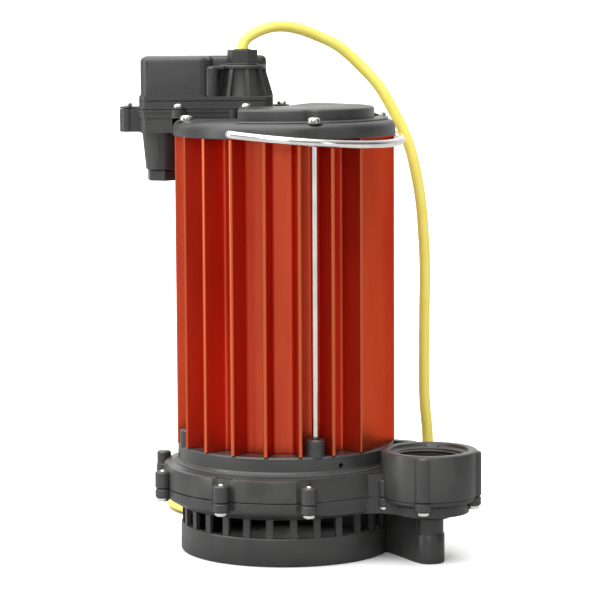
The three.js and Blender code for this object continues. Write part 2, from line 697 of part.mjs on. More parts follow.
add('impeller', impeller(), finish(0x2b2b2b, 0.5));
add('seal_spring', sealSpring(), stainless());
add('seal_head', ring(SHAFT.seal + GAP, 13.4, 54, 56.9, 0, 0, 16), finish(0x2a2c2e, 0.35));
add('seal_seat', ring(SHAFT.seal + 1.2, 15.6, 57.3, 61, 0, 0, 16), ceramic());
add('lower_bracket', lowerBracket(), aluminium());
add('lower_bearing_outer_race', ring(15.9, 20, 76, 87.8), bearingSteel());
add('lower_bearing_inner_race', ring(SHAFT.seal + GAP, 12, 76, 87.8, 0, 0, 16), bearingSteel());
add('motor_shaft', shaft(), stainless());
add('rotor_core', ring(SHAFT.shoulder + GAP, STACK.rotor, STACK.bottom, STACK.top), laminations());
add('stator_core', ring(STACK.airGap, STACK.stator, STACK.bottom, STACK.top), laminations());
add('winding_lower', winding(91, STACK.bottom - GAP), copper());
add('winding_upper', winding(STACK.top + GAP, 226), copper());
add('upper_bearing_inner_race', ring(SHAFT.tail + GAP, 10.8, 241, 252, 0, 0, 16), bearingSteel());
add('upper_bearing_outer_race', ring(14.3, 17.5, 241, 253), bearingSteel());
add('upper_bracket', upperBracket(), aluminium());
add('housing_seal_lower', ring(52.25, 54.75, NECK.top - 1.4, NECK.top + 0.05), blackRubber());
add('motor_housing', motorHousing(), anodised());
add('housing_seal_upper', ring(52.25, 54.75, HOUSING.top + 0.3, COVER.bottom + 1.4), blackRubber());
add('top_cover', topCover(), blackCasting());
rodCentres().forEach(([x, y], i) => add(`tie_rod_${i + 1}`, tieRod(x, y), stainless()));
add('bail_handle', bar(bailPath(), BAIL.wire, 38, 8), stainless());

add('switch_box_tray', boxTray(), blackCasting());
add('lid_gasket', cut(prism(boxOutline(3.35), 291.6, 295.2), prism(boxOutline(5.2), 290, 297)), blackRubber());
add('switch_box_lid', boxLid(), blackCasting());
BOX_SCREWS.forEach(([x, y], i) => add(`lid_screw_${i + 1}`, lidScrew(x, y), stainless()));
add('gland_nut', glandNut(), blackCasting());
add('gland_grommet', ring(GROMMET.inner, GROMMET.outer, GROMMET.bottom, GROMMET.top, GLAND.x, GLAND.y, 16),
  blackRubber());
add('port_plug', portPlug(), blackCasting());
const canister = new THREE.CylinderGeometry(13, 13, 36, 20).rotateZ(Math.PI / 2).translate(-70.5, 34, 310);
add('capacitor', canister, aluminium());
add('terminal_block', block(-50, -38, 46, 52, 297, 306), finish(0xd8d2c0, 0.5));

add('power_cord', bar(new THREE.CatmullRomCurve3(CORD_ROUTE), CORD_RADIUS, 64, 8), yellowJacket());
add('cord_coil', coilRing(), yellowJacket());
add('cord_tie', coilTie(), blackRubber());
const tailRoute = [tailPoint(31, 12.7), tailPoint(41, 12.5), tailPoint(51, 12), tailPoint(62, 11.6)];
add('cord_tail', bar(new THREE.CatmullRomCurve3(tailRoute), CORD_RADIUS, 3, 8), yellowJacket());
add('plug_body', plugBody(), yellowJacket());
add('plug_blade_1', plugBlade(1), brass());
add('plug_blade_2', plugBlade(-1), brass());
add('plug_ground_pin', groundPin(), brass());

export default pump;
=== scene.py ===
from math import asin, atan2, cos, degrees, exp, hypot, log, pi, radians, sin, sqrt

import bmesh
import bpy
from mathutils import Matrix, Vector


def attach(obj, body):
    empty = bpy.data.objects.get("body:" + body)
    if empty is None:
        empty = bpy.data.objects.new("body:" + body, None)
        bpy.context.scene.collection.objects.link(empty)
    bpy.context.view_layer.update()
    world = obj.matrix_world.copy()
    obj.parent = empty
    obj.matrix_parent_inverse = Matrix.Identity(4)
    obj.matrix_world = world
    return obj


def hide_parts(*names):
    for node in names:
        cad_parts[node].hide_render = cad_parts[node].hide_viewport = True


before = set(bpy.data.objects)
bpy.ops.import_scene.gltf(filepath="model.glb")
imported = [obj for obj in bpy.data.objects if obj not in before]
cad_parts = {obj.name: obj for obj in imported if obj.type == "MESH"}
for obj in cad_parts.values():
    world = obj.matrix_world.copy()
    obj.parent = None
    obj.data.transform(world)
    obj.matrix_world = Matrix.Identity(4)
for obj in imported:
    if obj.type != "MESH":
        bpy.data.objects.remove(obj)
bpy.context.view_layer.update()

# Submersible sump pump. The pump's sizes are in millimetres in the CAD frame: +Z up, the motor's
# axis at the origin, the front at -Y. Bearings are degrees about Z from the front towards +X.
# The camera, the lights and the floor are placed in metres.
MM = 0.001

PARTING = 43.6              # joint between the lower and the upper casing
FLANGE_RADIUS = 82
FLANGE_TOP = 59.3
FLAT_BEARING = 30           # where the flange has its one flat side
FLAT_DISTANCE = 76.8
WEEP_BEARING = 29.5         # the weep hole in the neck above the flat
NECK_RADIUS = 72.5
NECK_TOP = 72.4
CUP_RADIUS = 70.8
BAR_COUNT = 28
FIRST_BAR = 3.85
BOSS_CIRCLE = 84.3
BOSS_RADIUS = 5.2
BOSS_BEARINGS = [-150, -101, -77, -30, 10, 50, 130, 170]
TALL_BOSS_BEARING = -101

DISCHARGE = (93.8, -49)
DISCHARGE_RADIUS = 31.8
DISCHARGE_TOP = 74
DISCHARGE_BORE = 22.6
THREAD_PITCH = 2.21         # 11.5 turns to the inch
LUG_CIRCLE = 28.6
LUG_RADIUS = 5.8
LUG_BEARINGS = [-11, 82, 172]
LEG = (94, -54)

HOUSING_BOTTOM = 72.75
HOUSING_TOP = 277.9
CORE_RADIUS = 55.5
FIN_TIP_RADIUS = 73
FIN_COUNT = 20
FIRST_FIN = 7.5
PAD_FROM, PAD_TO = 43.5, 88

ROD_CIRCLE = 67
ROD_BEARINGS = [16.5, 106.5, 196.5, 286.5]

COVER_RADIUS = 74
COVER_BOTTOM = 278.2
DECK = 288.6
PLATEAU_TOP = 296.8
PLATEAU_RADIUS = 60

BAIL_BEARING = -28
BAIL_RADIUS = 78.2
BAIL_WIRE = 2.7
BAIL_HEIGHT = 281.7
BAIL_DROOP = 5.8
BAIL_BEND = 4
BAIL_INNER = 66

BOX_LEFT, BOX_RIGHT, BOX_FRONT, BOX_BACK = -97.5, -7, 9, 58
BOX_SCREWS = [(-70.5, 5), (-25.3, 5), (-105.6, 28), (-1.5, 51), (-70, 62), (-28, 62)]
EAR_RADIUS = 5.2
TRAY_BOTTOM, TRAY_SHELF, TRAY_TOP = 279, 289, 294.4
LID_BOTTOM, LID_SHOULDER, LID_TOP = 294.75, 302.8, 329.5
GLAND = (-27.9, 32)
PORT = (-82.5, 34)

CORD_DIAMETER = 7.6
COIL_CENTRE = (-28.5, 147.4)
COIL_START_RADIUS, COIL_END_RADIUS = 57, 58.5
COIL_TURNS = 7 + 210 / 360
COIL_FLOOR = 5.1
TAIL_HEADING = 60           # angle on the coil at which the free end leaves it
PLUG_HEADING = 30

CAMERA_PLACE = (0, -1.7956, 0.3705)
CAMERA_YAW, CAMERA_PITCH, CAMERA_ROLL = 0.318, 6.46, -0.29
CAMERA_LENS = 162

# ---------------------------------------------------------------- placing helpers


def polar(radius, bearing):
    return radius * sin(radians(bearing)), -radius * cos(radians(bearing))


def around(centre, radius, bearing):
    x, y = polar(radius, bearing)
    return centre[0] + x, centre[1] + y


def blend_in(value):
    """0 before 0, 1 after 1, and smooth between."""
    value = min(1, max(0, value))
    return value * value * (3 - 2 * value)


# ---------------------------------------------------------------- camera and light


def camera():
    """A long lens a little above the pump, turned as in the photo."""
    yaw, pitch, roll = radians(CAMERA_YAW), radians(CAMERA_PITCH), radians(CAMERA_ROLL)
    forward = Vector((sin(yaw) * cos(pitch), cos(yaw) * cos(pitch), -sin(pitch)))
    level = Vector((cos(yaw), -sin(yaw), 0))
    upright = level.cross(forward)
    right = cos(roll) * level + sin(roll) * upright
    up = -sin(roll) * level + cos(roll) * upright
    data = bpy.data.cameras.new("camera")
    data.lens = CAMERA_LENS
    data.sensor_width = 36
    data.clip_start, data.clip_end = 0.1, 100
    view = bpy.data.objects.new("camera", data)
    turn = Matrix((right, up, -forward)).transposed().to_4x4()
    view.matrix_world = Matrix.Translation(CAMERA_PLACE) @ turn
    bpy.context.scene.collection.objects.link(view)
    bpy.context.scene.camera = view


def soft_panel(name, place, aim, width, height, power):
    data = bpy.data.lights.new(name, "AREA")
    data.shape = "RECTANGLE"
    data.size, data.size_y = width, height
    data.energy = power
    panel = bpy.data.objects.new(name, data)
    direction = Vector(aim) - Vector(place)
    panel.matrix_world = (
        Matrix.Translation(place) @ direction.to_track_quat("-Z", "Y").to_matrix().to_4x4()
    )
    bpy.context.scene.collection.objects.link(panel)


def remapped(tree, value, reach, result=(0, 1), kind="LINEAR"):
    """A value carried from one span to another, held at both ends."""
    span = tree.nodes.new("ShaderNodeMapRange")
    span.interpolation_type = kind
    for socket, number in zip(("From Min", "From Max", "To Min", "To Max"), (*reach, *result)):
        span.inputs[socket].default_value = number
    tree.links.new(value, span.inputs["Value"])
    return span.outputs["Result"]


def reckoned(tree, operation, first, second):
    """The result of one Math node on two values."""
    node = tree.nodes.new("ShaderNodeMath")
    node.operation = operation
    tree.links.new(first, node.inputs[0])
    tree.links.new(second, node.inputs[1])
    return node.outputs[0]


def surround():
    """White as the camera sees it. As light it is brightest overhead, behind and at the left."""
    world = bpy.data.worlds.new("studio")
    bpy.context.scene.world = world
    world.use_nodes = True
    tree = world.node_tree
    nodes, links = tree.nodes, tree.links
    nodes.clear()
    out = nodes.new("ShaderNodeOutputWorld")
    mix = nodes.new("ShaderNodeMixShader")
    path = nodes.new("ShaderNodeLightPath")
    fill, seen = nodes.new("ShaderNodeBackground"), nodes.new("ShaderNodeBackground")
    fill.inputs["Color"].default_value = (1, 1, 1, 1)
    seen.inputs["Color"].default_value = (1, 1, 1, 1)
    seen.inputs["Strength"].default_value = 1.05
    direction, axes = nodes.new("ShaderNodeTexCoord"), nodes.new("ShaderNodeSeparateXYZ")
    links.new(direction.outputs["Generated"], axes.inputs[0])
    overhead = remapped(tree, axes.outputs["Z"], (-0.1, 1), (0.08, 1.25))
    leftward = remapped(tree, axes.outputs["X"], (-0.2, 0.8), (1.15, 0.35))
    behind = remapped(tree, axes.outputs["Y"], (0.2, 1), (0, 0.8))
    shaded = reckoned(tree, "MULTIPLY", overhead, leftward)
    links.new(reckoned(tree, "ADD", shaded, behind), fill.inputs["Strength"])
    links.new(path.outputs["Is Camera Ray"], mix.inputs["Fac"])
    links.new(fill.outputs[0], mix.inputs[1])
    links.new(seen.outputs[0], mix.inputs[2])
    links.new(mix.outputs[0], out.inputs["Surface"])


def studio():
    """The surround, one broad sun from above and three soft panels."""
    surround()
    data = bpy.data.lights.new("overhead_sun", "SUN")
    data.energy = 3.6
    data.angle = radians(75)
    sun = bpy.data.objects.new("overhead_sun", data)
    sun.rotation_euler = Vector((0.2, 0.22, -1)).to_track_quat("-Z", "Y").to_euler()
    bpy.context.scene.collection.objects.link(sun)
    soft_panel("left_panel", (-1.5, -0.45, 0.7), (0, 0, 0.17), 0.4, 1.3, 10)
    soft_panel("right_panel", (1.2, -1.3, 0.6), (0, 0, 0.1), 0.3, 1.1, 1.5)
    soft_panel("front_panel", (-0.3, -2.1, 1.0), (0, 0, 0.2), 0.9, 0.5, 7)
    bpy.context.scene.view_settings.view_transform = "Standard"


def floor():
    """Pale as the camera sees it, and darker to the light that bounces off it."""
    bm = bmesh.new()
    bmesh.ops.create_grid(bm, x_segments=1, y_segments=1, size=30)
    mesh = bpy.data.meshes.new("floor")
    bm.to_mesh(mesh)
    bm.free()
    ground = bpy.data.objects.new("floor", mesh)
    bpy.context.scene.collection.objects.link(ground)
    material = bpy.data.materials.new("pale_floor")
    material.use_nodes = True
    shader = material.node_tree.nodes["Principled BSDF"]
    path = material.node_tree.nodes.new("ShaderNodeLightPath")
    pale = material.node_tree.nodes.new("ShaderNodeMix")
    pale.data_type = "RGBA"
    pale.inputs["A"].default_value = (0.38, 0.38, 0.38, 1)
    pale.inputs["B"].default_value = (0.95, 0.95, 0.95, 1)
    material.node_tree.links.new(path.outputs["Is Camera Ray"], pale.inputs["Factor"])
    material.node_tree.links.new(pale.outputs["Result"], shader.inputs["Base Color"])
    shader.inputs["Roughness"].default_value = 0.7
    shader.inputs["Specular IOR Level"].default_value = 0.2
    mesh.materials.append(material)


# ---------------------------------------------------------------- surface effects

EVENLY = (1, 1, 1)


def effect_group(name, *inputs, output="Mask"):
    """An empty node group with named inputs and one float output, with its two end nodes."""
    tree = bpy.data.node_groups.new(name, "ShaderNodeTree")
    for label in inputs:
        kind = "NodeSocketVector" if label == "Stretch" else "NodeSocketFloat"
        tree.interface.new_socket(label, in_out="INPUT", socket_type=kind)
    tree.interface.new_socket(output, in_out="OUTPUT", socket_type="NodeSocketFloat")
    return tree, tree.nodes.new("NodeGroupInput"), tree.nodes.new("NodeGroupOutput")


def stretched_noise(tree, entry, detail):
    """Noise on Object coordinates, stretched along each axis."""
    place = tree.nodes.new("ShaderNodeTexCoord")
    stretch = tree.nodes.new("ShaderNodeVectorMath")
    stretch.operation = "MULTIPLY"
    noise = tree.nodes.new("ShaderNodeTexNoise")
    noise.inputs["Detail"].default_value = detail
    tree.links.new(place.outputs["Object"], stretch.inputs[0])
    tree.links.new(entry.outputs["Stretch"], stretch.inputs[1])
    tree.links.new(stretch.outputs[0], noise.inputs["Vector"])
    tree.links.new(entry.outputs["Scale"], noise.inputs["Scale"])
    return noise.outputs["Fac"]


def mottle_group():
    """Broad, soft variation of a surface, as a mask from 0 to 1."""
    tree, entry, leave = effect_group("mottle", "Scale", "Stretch")
    mask = remapped(tree, stretched_noise(tree, entry, 5), (0.36, 0.64), kind="SMOOTHSTEP")
    tree.links.new(mask, leave.inputs["Mask"])
    return tree


def grain_group():
    """Fine surface texture, as a height."""
    tree, entry, leave = effect_group("grain", "Scale", "Stretch", output="Height")
    tree.links.new(stretched_noise(tree, entry, 3), leave.inputs["Height"])
    return tree


def specks_group():
    """Sparse small flecks of dust and fibre, as a mask."""
    tree, entry, leave = effect_group("specks", "Scale", "Amount")
    place = tree.nodes.new("ShaderNodeTexCoord")
    cells = tree.nodes.new("ShaderNodeTexVoronoi")
    tree.links.new(place.outputs["Object"], cells.inputs["Vector"])
    tree.links.new(entry.outputs["Scale"], cells.inputs["Scale"])
    near = reckoned(tree, "LESS_THAN", cells.outputs["Distance"], entry.outputs["Amount"])
    tree.links.new(near, leave.inputs["Mask"])
    return tree


def beyond_group():
    """A mask that turns on half a millimetre inside a radius from the part's upright axis."""
    tree, entry, leave = effect_group("beyond", "Radius")
    place = tree.nodes.new("ShaderNodeTexCoord")
    across = tree.nodes.new("ShaderNodeVectorMath")
    across.operation = "MULTIPLY"
    across.inputs[1].default_value = (1, 1, 0)
    distance = tree.nodes.new("ShaderNodeVectorMath")
    distance.operation = "LENGTH"
    tree.links.new(place.outputs["Object"], across.inputs[0])
    tree.links.new(across.outputs[0], distance.inputs[0])
    past = reckoned(tree, "SUBTRACT", distance.outputs["Value"], entry.outputs["Radius"])
    tree.links.new(remapped(tree, past, (-0.8 * MM, -0.3 * MM)), leave.inputs["Mask"])
    return tree


EFFECTS = {"mottle": mottle_group(), "grain": grain_group(), "specks": specks_group(),
           "beyond": beyond_group()}


class Finish:
    """One material in the making: a Principled shader with effects placed round it."""

    def __init__(self, name, metallic=0.0, **constants):
        self.material = bpy.data.materials.new(name)
        self.material.use_nodes = True
        self.tree = self.material.node_tree
        self.shader = self.tree.nodes["Principled BSDF"]
        self.shader.inputs["Metallic"].default_value = metallic
        for socket, value in constants.items():
            self.shader.inputs[socket.replace("_", " ")].default_value = value

    def feed(self, socket, value):
        self.tree.links.new(value, self.shader.inputs[socket])

    def effect(self, name, **values):
        node = self.tree.nodes.new("ShaderNodeGroup")
        node.node_tree = EFFECTS[name]
        for socket, value in values.items():
            node.inputs[socket].default_value = value
        return node.outputs[0]

    def mottle(self, scale, stretch=EVENLY):
        return self.effect("mottle", Scale=scale, Stretch=stretch)

    def grain(self, scale, stretch=EVENLY):
        return self.effect("grain", Scale=scale, Stretch=stretch)

    def bands(self, scale, distortion, detail_scale=1.0):
        """Level bands up the part's axis."""
        place = self.tree.nodes.new("ShaderNodeTexCoord")
        wave = self.tree.nodes.new("ShaderNodeTexWave")
        wave.bands_direction = "Z"
        wave.inputs["Scale"].default_value = scale
        wave.inputs["Distortion"].default_value = distortion
        wave.inputs["Detail Scale"].default_value = detail_scale
        self.tree.links.new(place.outputs["Object"], wave.inputs["Vector"])
        return wave.outputs["Fac"]

    def blend(self, mask, first, second):
        """A mix of two colours. The first may be the output of another blend."""
        mix = self.tree.nodes.new("ShaderNodeMix")
        mix.data_type = "RGBA"
        if isinstance(first, tuple):
            mix.inputs["A"].default_value = (*first, 1)
        else:
            self.tree.links.new(first, mix.inputs["A"])
        mix.inputs["B"].default_value = (*second, 1)
        self.tree.links.new(mask, mix.inputs["Factor"])
        return mix.outputs["Result"]

    def coloured(self, mask, first, second, over=None):
        """Base colour between two colours, with a third laid over it where its own mask is 1."""
        colour = self.blend(mask, first, second)
        if over:
            colour = self.blend(over[0], colour, over[1])
        self.feed("Base Color", colour)

    def rough(self, mask, low, high):
        self.feed("Roughness", remapped(self.tree, mask, (0, 1), (low, high)))

    def bumped(self, height, depth, strength):
        bump = self.tree.nodes.new("ShaderNodeBump")
        bump.inputs["Strength"].default_value = strength
        bump.inputs["Distance"].default_value = depth * MM
        self.tree.links.new(height, bump.inputs["Height"])
        self.feed("Normal", bump.outputs["Normal"])


def moulded_black():
    """Glass-filled black moulding: satin, with faint flow mottling and a fine grain."""
    finish = Finish("moulded_black", IOR=1.5)
    mottle = finish.mottle(38)
    specks = finish.effect("specks", Scale=420, Amount=0.09)
    finish.coloured(mottle, (0.033, 0.033, 0.0325), (0.045, 0.045, 0.044),
                    (specks, (0.075, 0.074, 0.07)))
    finish.rough(mottle, 0.32, 0.46)
    finish.bumped(finish.grain(1500), 0.05, 0.7)
    return finish.material


def anodised_orange():
    """Red-orange dyed aluminium with fine draw lines along it, and a painted highlight on the fin tips.
    """
    finish = Finish("anodised_orange", metallic=0.9, Specular_Tint=(0.8, 0.28, 0.18, 1))
    mottle = finish.mottle(26, (1, 1, 0.25))
    lines = finish.grain(900, (1, 1, 0.012))
    # Painted highlight: the fin tips get a brighter orange where they catch the light.
    tips = finish.effect("beyond", Radius=FIN_TIP_RADIUS * MM)
    finish.coloured(mottle, (0.56, 0.068, 0.031), (0.67, 0.092, 0.040), (tips, (0.62, 0.13, 0.054)))
    finish.rough(lines, 0.24, 0.42)
    finish.bumped(lines, 0.05, 0.5)
    return finish.material


def polished_stainless():
    finish = Finish("polished_stainless", metallic=1.0)
    brushing = finish.grain(1400, (1, 1, 0.05))
    finish.coloured(finish.mottle(120, (1, 1, 0.4)), (0.72, 0.71, 0.69), (0.84, 0.83, 0.81))
    finish.rough(brushing, 0.06, 0.2)
    finish.bumped(brushing, 0.02, 0.4)
    return finish.material


def mottled(name, patch, dark, light, gloss, grain, depth, strength=0.4, along=EVENLY, **constants):
    """A plain look: colour and roughness vary in broad patches, over a fine grain."""
    finish = Finish(name, **constants)
    patches = finish.mottle(patch)
    finish.coloured(patches, dark, light)
    finish.rough(patches, *gloss)
    finish.bumped(finish.grain(grain, along), depth, strength)
    return finish.material


def plated_screw_steel():
    return mottled("plated_screw_steel", 300, (0.78, 0.77, 0.75), (0.90, 0.89, 0.87), (0.16, 0.3),
                   2600, 0.02, metallic=1)


def yellow_jacket():
    """Flexible yellow cord jacket: a soft sheen, slightly uneven from extrusion and handling."""
    finish = Finish("yellow_jacket", IOR=1.46)
    mottle = finish.mottle(60)
    specks = finish.effect("specks", Scale=260, Amount=0.05)
    finish.coloured(mottle, (0.98, 0.83, 0.15), (1.0, 0.88, 0.20), (specks, (0.62, 0.50, 0.10)))
    finish.rough(mottle, 0.34, 0.5)
    finish.bumped(finish.grain(1200), 0.04, 0.5)
    return finish.material


def yellow_plug_moulding():
    return mottled("yellow_plug_moulding", 90, (0.86, 0.70, 0.05), (0.92, 0.78, 0.08), (0.42, 0.58),
                   1700, 0.06, 0.6, IOR=1.46)


def black_rubber():
    finish = Finish("black_rubber", IOR=1.5)
    mottle = finish.mottle(110)
    specks = finish.effect("specks", Scale=500, Amount=0.08)
    finish.coloured(mottle, (0.016, 0.016, 0.017), (0.026, 0.026, 0.026), (specks, (0.05, 0.05, 0.048)))
    finish.rough(mottle, 0.6, 0.8)
    finish.bumped(finish.grain(1900), 0.05, 0.6)
    return finish.material


def carbon_face():
    return mottled("carbon_face", 700, (0.03, 0.03, 0.032), (0.05, 0.05, 0.053), (0.25, 0.4),
                   3000, 0.01, 0.3, IOR=1.7)


def ceramic_face():
    return mottled("ceramic_face", 260, (0.80, 0.78, 0.72), (0.88, 0.86, 0.81), (0.2, 0.35),
                   2500, 0.01, 0.3, IOR=1.6)


def cast_aluminium():
    return mottled("cast_aluminium", 90, (0.55, 0.56, 0.57), (0.68, 0.69, 0.70), (0.42, 0.62),
                   700, 0.12, 0.7, metallic=1)


def ground_bearing_steel():
    finish = Finish("ground_bearing_steel", metallic=1.0)
    lines = finish.grain(500, (0.1, 0.1, 6))
    finish.coloured(lines, (0.60, 0.61, 0.62), (0.74, 0.75, 0.76))
    finish.rough(lines, 0.12, 0.28)
    finish.bumped(lines, 0.01, 0.4)
    return finish.material


def stacked_laminations():
    """Electrical steel sheets half a millimetre thick, stacked along the shaft."""
    finish = Finish("stacked_laminations", metallic=0.9)
    edges = finish.bands(628, 0.3)
    finish.coloured(edges, (0.17, 0.18, 0.2), (0.42, 0.43, 0.45))
    finish.rough(edges, 0.65, 0.4)
    finish.bumped(edges, 0.08, 0.8)
    return finish.material


def varnished_copper():
    """Wire turns seen as rings, under amber varnish."""
    finish = Finish("varnished_copper", metallic=0.85)
    wires = finish.bands(250, 3, detail_scale=40)
    finish.coloured(wires, (0.24, 0.09, 0.03), (0.62, 0.29, 0.12))
    finish.rough(wires, 0.5, 0.28)
    finish.bumped(wires, 0.25, 0.8)
    return finish.material


def cream_thermoset():
    return mottled("cream_thermoset", 200, (0.66, 0.60, 0.47), (0.74, 0.69, 0.56), (0.4, 0.55),
                   1500, 0.04, 0.5, IOR=1.5)


def contact_brass():
    return mottled("contact_brass", 220, (0.70, 0.50, 0.20), (0.82, 0.63, 0.30), (0.18, 0.34),
                   1800, 0.02, along=(1, 1, 0.1), metallic=1)


MOULDED = moulded_black()
ANODISED = anodised_orange()
STAINLESS = polished_stainless()
SCREW_STEEL = plated_screw_steel()
JACKET = yellow_jacket()
PLUG_YELLOW = yellow_plug_moulding()
RUBBER = black_rubber()
BRASS = contact_brass()

# ---------------------------------------------------------------- shape helpers, in millimetres


def outward(bm):
    bmesh.ops.remove_doubles(bm, verts=bm.verts, dist=1e-3)
    bmesh.ops.recalc_face_normals(bm, faces=bm.faces)
    return bm


def turned(profile, centre=(0, 0), steps=96):
    """A profile of (radius, height) pairs spun once about an upright axis."""
    bm = bmesh.new()
    verts = [bm.verts.new((radius, 0, height)) for radius, height in profile]
    edges = [bm.edges.new(pair) for pair in zip(verts, verts[1:])]
    if profile[0][0] > 0 or profile[-1][0] > 0:
        edges.append(bm.edges.new((verts[-1], verts[0])))
    bmesh.ops.spin(
        bm, geom=verts + edges, cent=(0, 0, 0), axis=(0, 0, 1), angle=2 * pi, steps=steps,
        use_merge=True,
    )
    outward(bm)
    bmesh.ops.translate(bm, verts=bm.verts, vec=(*centre, 0))
    return bm


def slab(outline, low, high, holes=()):
    """An upright plate with that outline, and with holes through it."""
    bm = bmesh.new()
    edges = []
    for loop in (outline, *holes):
        verts = [bm.verts.new((x, y, low)) for x, y in loop]
        edges += [bm.edges.new(pair) for pair in zip(verts, verts[1:] + verts[:1])]
    if holes:
        bmesh.ops.triangle_fill(bm, use_beauty=True, edges=edges)
    else:
        bmesh.ops.contextual_create(bm, geom=edges)
    raised = bmesh.ops.extrude_face_region(bm, geom=list(bm.faces))["geom"]
    top = [item for item in raised if isinstance(item, bmesh.types.BMVert)]
    bmesh.ops.translate(bm, verts=top, vec=(0, 0, high - low))
    return outward(bm)


def lofted(sections):
    """A closed skin through loops of equal length, capped at both ends."""
    bm = bmesh.new()
    rims = []
    for loop in sections:
        verts = [bm.verts.new(point) for point in loop]
        rims.append([bm.edges.new(pair) for pair in zip(verts, verts[1:] + verts[:1])])
    for lower, upper in zip(rims, rims[1:]):
        bmesh.ops.bridge_loops(bm, edges=lower + upper)
    bmesh.ops.contextual_create(bm, geom=rims[0])
    bmesh.ops.contextual_create(bm, geom=rims[-1])
    return outward(bm)


def circle(radius, count=48, centre=(0, 0)):
    return [around(centre, radius, 360 * k / count) for k in range(count)]


def arc(centre, radius, start, end, count):
    """Points by bearing, from start to end."""
    span = end - start
    return [around(centre, radius, start + span * k / count) for k in range(count + 1)]


def rounded_rectangle(x0, x1, y0, y1, corner, count=5):
    points = []
    for x, y, start in (
        (x1 - corner, y0 + corner, 0), (x1 - corner, y1 - corner, 90),
        (x0 + corner, y1 - corner, 180), (x0 + corner, y0 + corner, 270),
    ):
        points += arc((x, y), corner, start, start + 90, count)
    return points


def rim_edges(bm, height):
    """The outer edges of a flat face at that height."""
    level = [e for e in bm.edges if all(abs(v.co.z - height) < 1e-3 for v in e.verts)]
    return [e for e in level if any(abs(f.normal.z) < 0.5 for f in e.link_faces)]


def rounded_rim(bm, height, radius, segments=3):
    bmesh.ops.bevel(
        bm, geom=rim_edges(bm, height), offset=radius, offset_type="OFFSET", segments=segments,
        profile=0.5, affect="EDGES", material=-1, clamp_overlap=True,
    )
    return bm


def moved(bm, vec):
    bmesh.ops.translate(bm, verts=bm.verts, vec=vec)
    return bm


def spun(bm, angle, axis="Z"):
    bmesh.ops.rotate(bm, verts=bm.verts, cent=(0, 0, 0), matrix=Matrix.Rotation(radians(angle), 3, axis))
    return bm


def to_mesh(name, bm):
    mesh = bpy.data.meshes.new(name)
    bm.to_mesh(mesh)
    bm.free()
    return mesh


def gather(parts):
    """Several shapes as one."""
    whole = bmesh.new()
    for part in parts:
        mesh = to_mesh("part", part)
        whole.from_mesh(mesh)
        bpy.data.meshes.remove(mesh)
    return whole


def drilled(bm, *tools):
    """A shape with other shapes cut out of it."""
    scene = bpy.context.scene.collection
    base = bpy.data.objects.new("blank", to_mesh("blank", bm))
    scene.objects.link(base)
    cutters = []
    for tool in tools:
        cutter = bpy.data.objects.new("cutter", to_mesh("cutter", tool))
        scene.objects.link(cutter)
        cut = base.modifiers.new("cut", "BOOLEAN")
        cut.operation, cut.solver, cut.object = "DIFFERENCE", "EXACT", cutter
        cutters.append(cutter)
    depsgraph = bpy.context.evaluated_depsgraph_get()
    mesh = bpy.data.meshes.new_from_object(base.evaluated_get(depsgraph))
    result = bmesh.new()
    result.from_mesh(mesh)
    bpy.data.meshes.remove(mesh)
    for each in (base, *cutters):
        old = each.data
        bpy.data.objects.remove(each)
        bpy.data.meshes.remove(old)
    return outward(result)


def piece(name, parts, material, nodes=(), body="pump_body", edge=0.0, angle=32):
    """One finished piece: shapes in millimetres, joined, put in metres and placed on its body."""
    whole = gather(parts)
    bmesh.ops.scale(whole, verts=whole.verts, vec=(MM, MM, MM))
    mesh = to_mesh(name, whole)
    mesh.materials.append(material)
    mesh.shade_smooth()
    obj = bpy.data.objects.new(name, mesh)
    bpy.context.scene.collection.objects.link(obj)
    if edge:
        bevel = obj.modifiers.new("soft_edges", "BEVEL")
        bevel.width = edge * MM
        bevel.segments = 2
        bevel.limit_method = "ANGLE"
        bevel.angle_limit = radians(angle)
        bevel.harden_normals = True
    else:
        mesh.set_sharp_from_angle(angle=radians(angle))
    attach(obj, body)
    if nodes:
        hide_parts(*nodes)
    return obj


def wire(name, points, radius, material, sides=6):
    """A round bar along a smooth open line, as a curve."""
    data = bpy.data.curves.new(name, "CURVE")
    data.dimensions = "3D"
    data.bevel_depth = radius * MM
    data.bevel_resolution = sides
    data.resolution_u = 5
    data.use_fill_caps = True
    spline = data.splines.new("BEZIER")
    spline.bezier_points.add(len(points) - 1)
    for knot, point in zip(spline.bezier_points, points):
        knot.co = Vector(point) * MM
        knot.handle_left_type = knot.handle_right_type = "AUTO"
    data.materials.append(material)
    obj = bpy.data.objects.new(name, data)
    bpy.context.scene.collection.objects.link(obj)
    return obj


# ---------------------------------------------------------------- cord and plug

CORD_ROUTE = [
    (-27.9, 32, 332.5), (-27, 32.4, 338.2), (-24.6, 33.7, 341.4), (-20.4, 36.1, 344.2),
    (-13.2, 40, 347.3), (-3.1, 46, 349), (9.1, 51, 347.4), (23.5, 57, 342.1), (35.1, 60, 336.6),
    (42.7, 61.5, 331), (54.3, 62, 320), (64.2, 62, 309), (71.1, 62, 298.1), (77, 62, 287),
    (82.4, 62, 276), (86.5, 61.8, 265), (89.3, 61.5, 254), (93.4, 61, 231.9), (95.8, 60.5, 204.3),
    (96.7, 60, 180), (96.4, 60, 154.3), (96.2, 60.2, 128), (96.1, 60.5, 103.9), (96.8, 61, 87),
    (98.5, 62.4, 68), (98.9, 65.5, 47), (96.4, 72, 27.5), (89.5, 80.5, 13.5), (78, 87.2, 6),
    (62, 91.2, 4.1), (45, 92.2, 4.1), (28, 91.4, 4.3), (12, 90.6, 4.8), (-10, 90.4, 5.1),
]


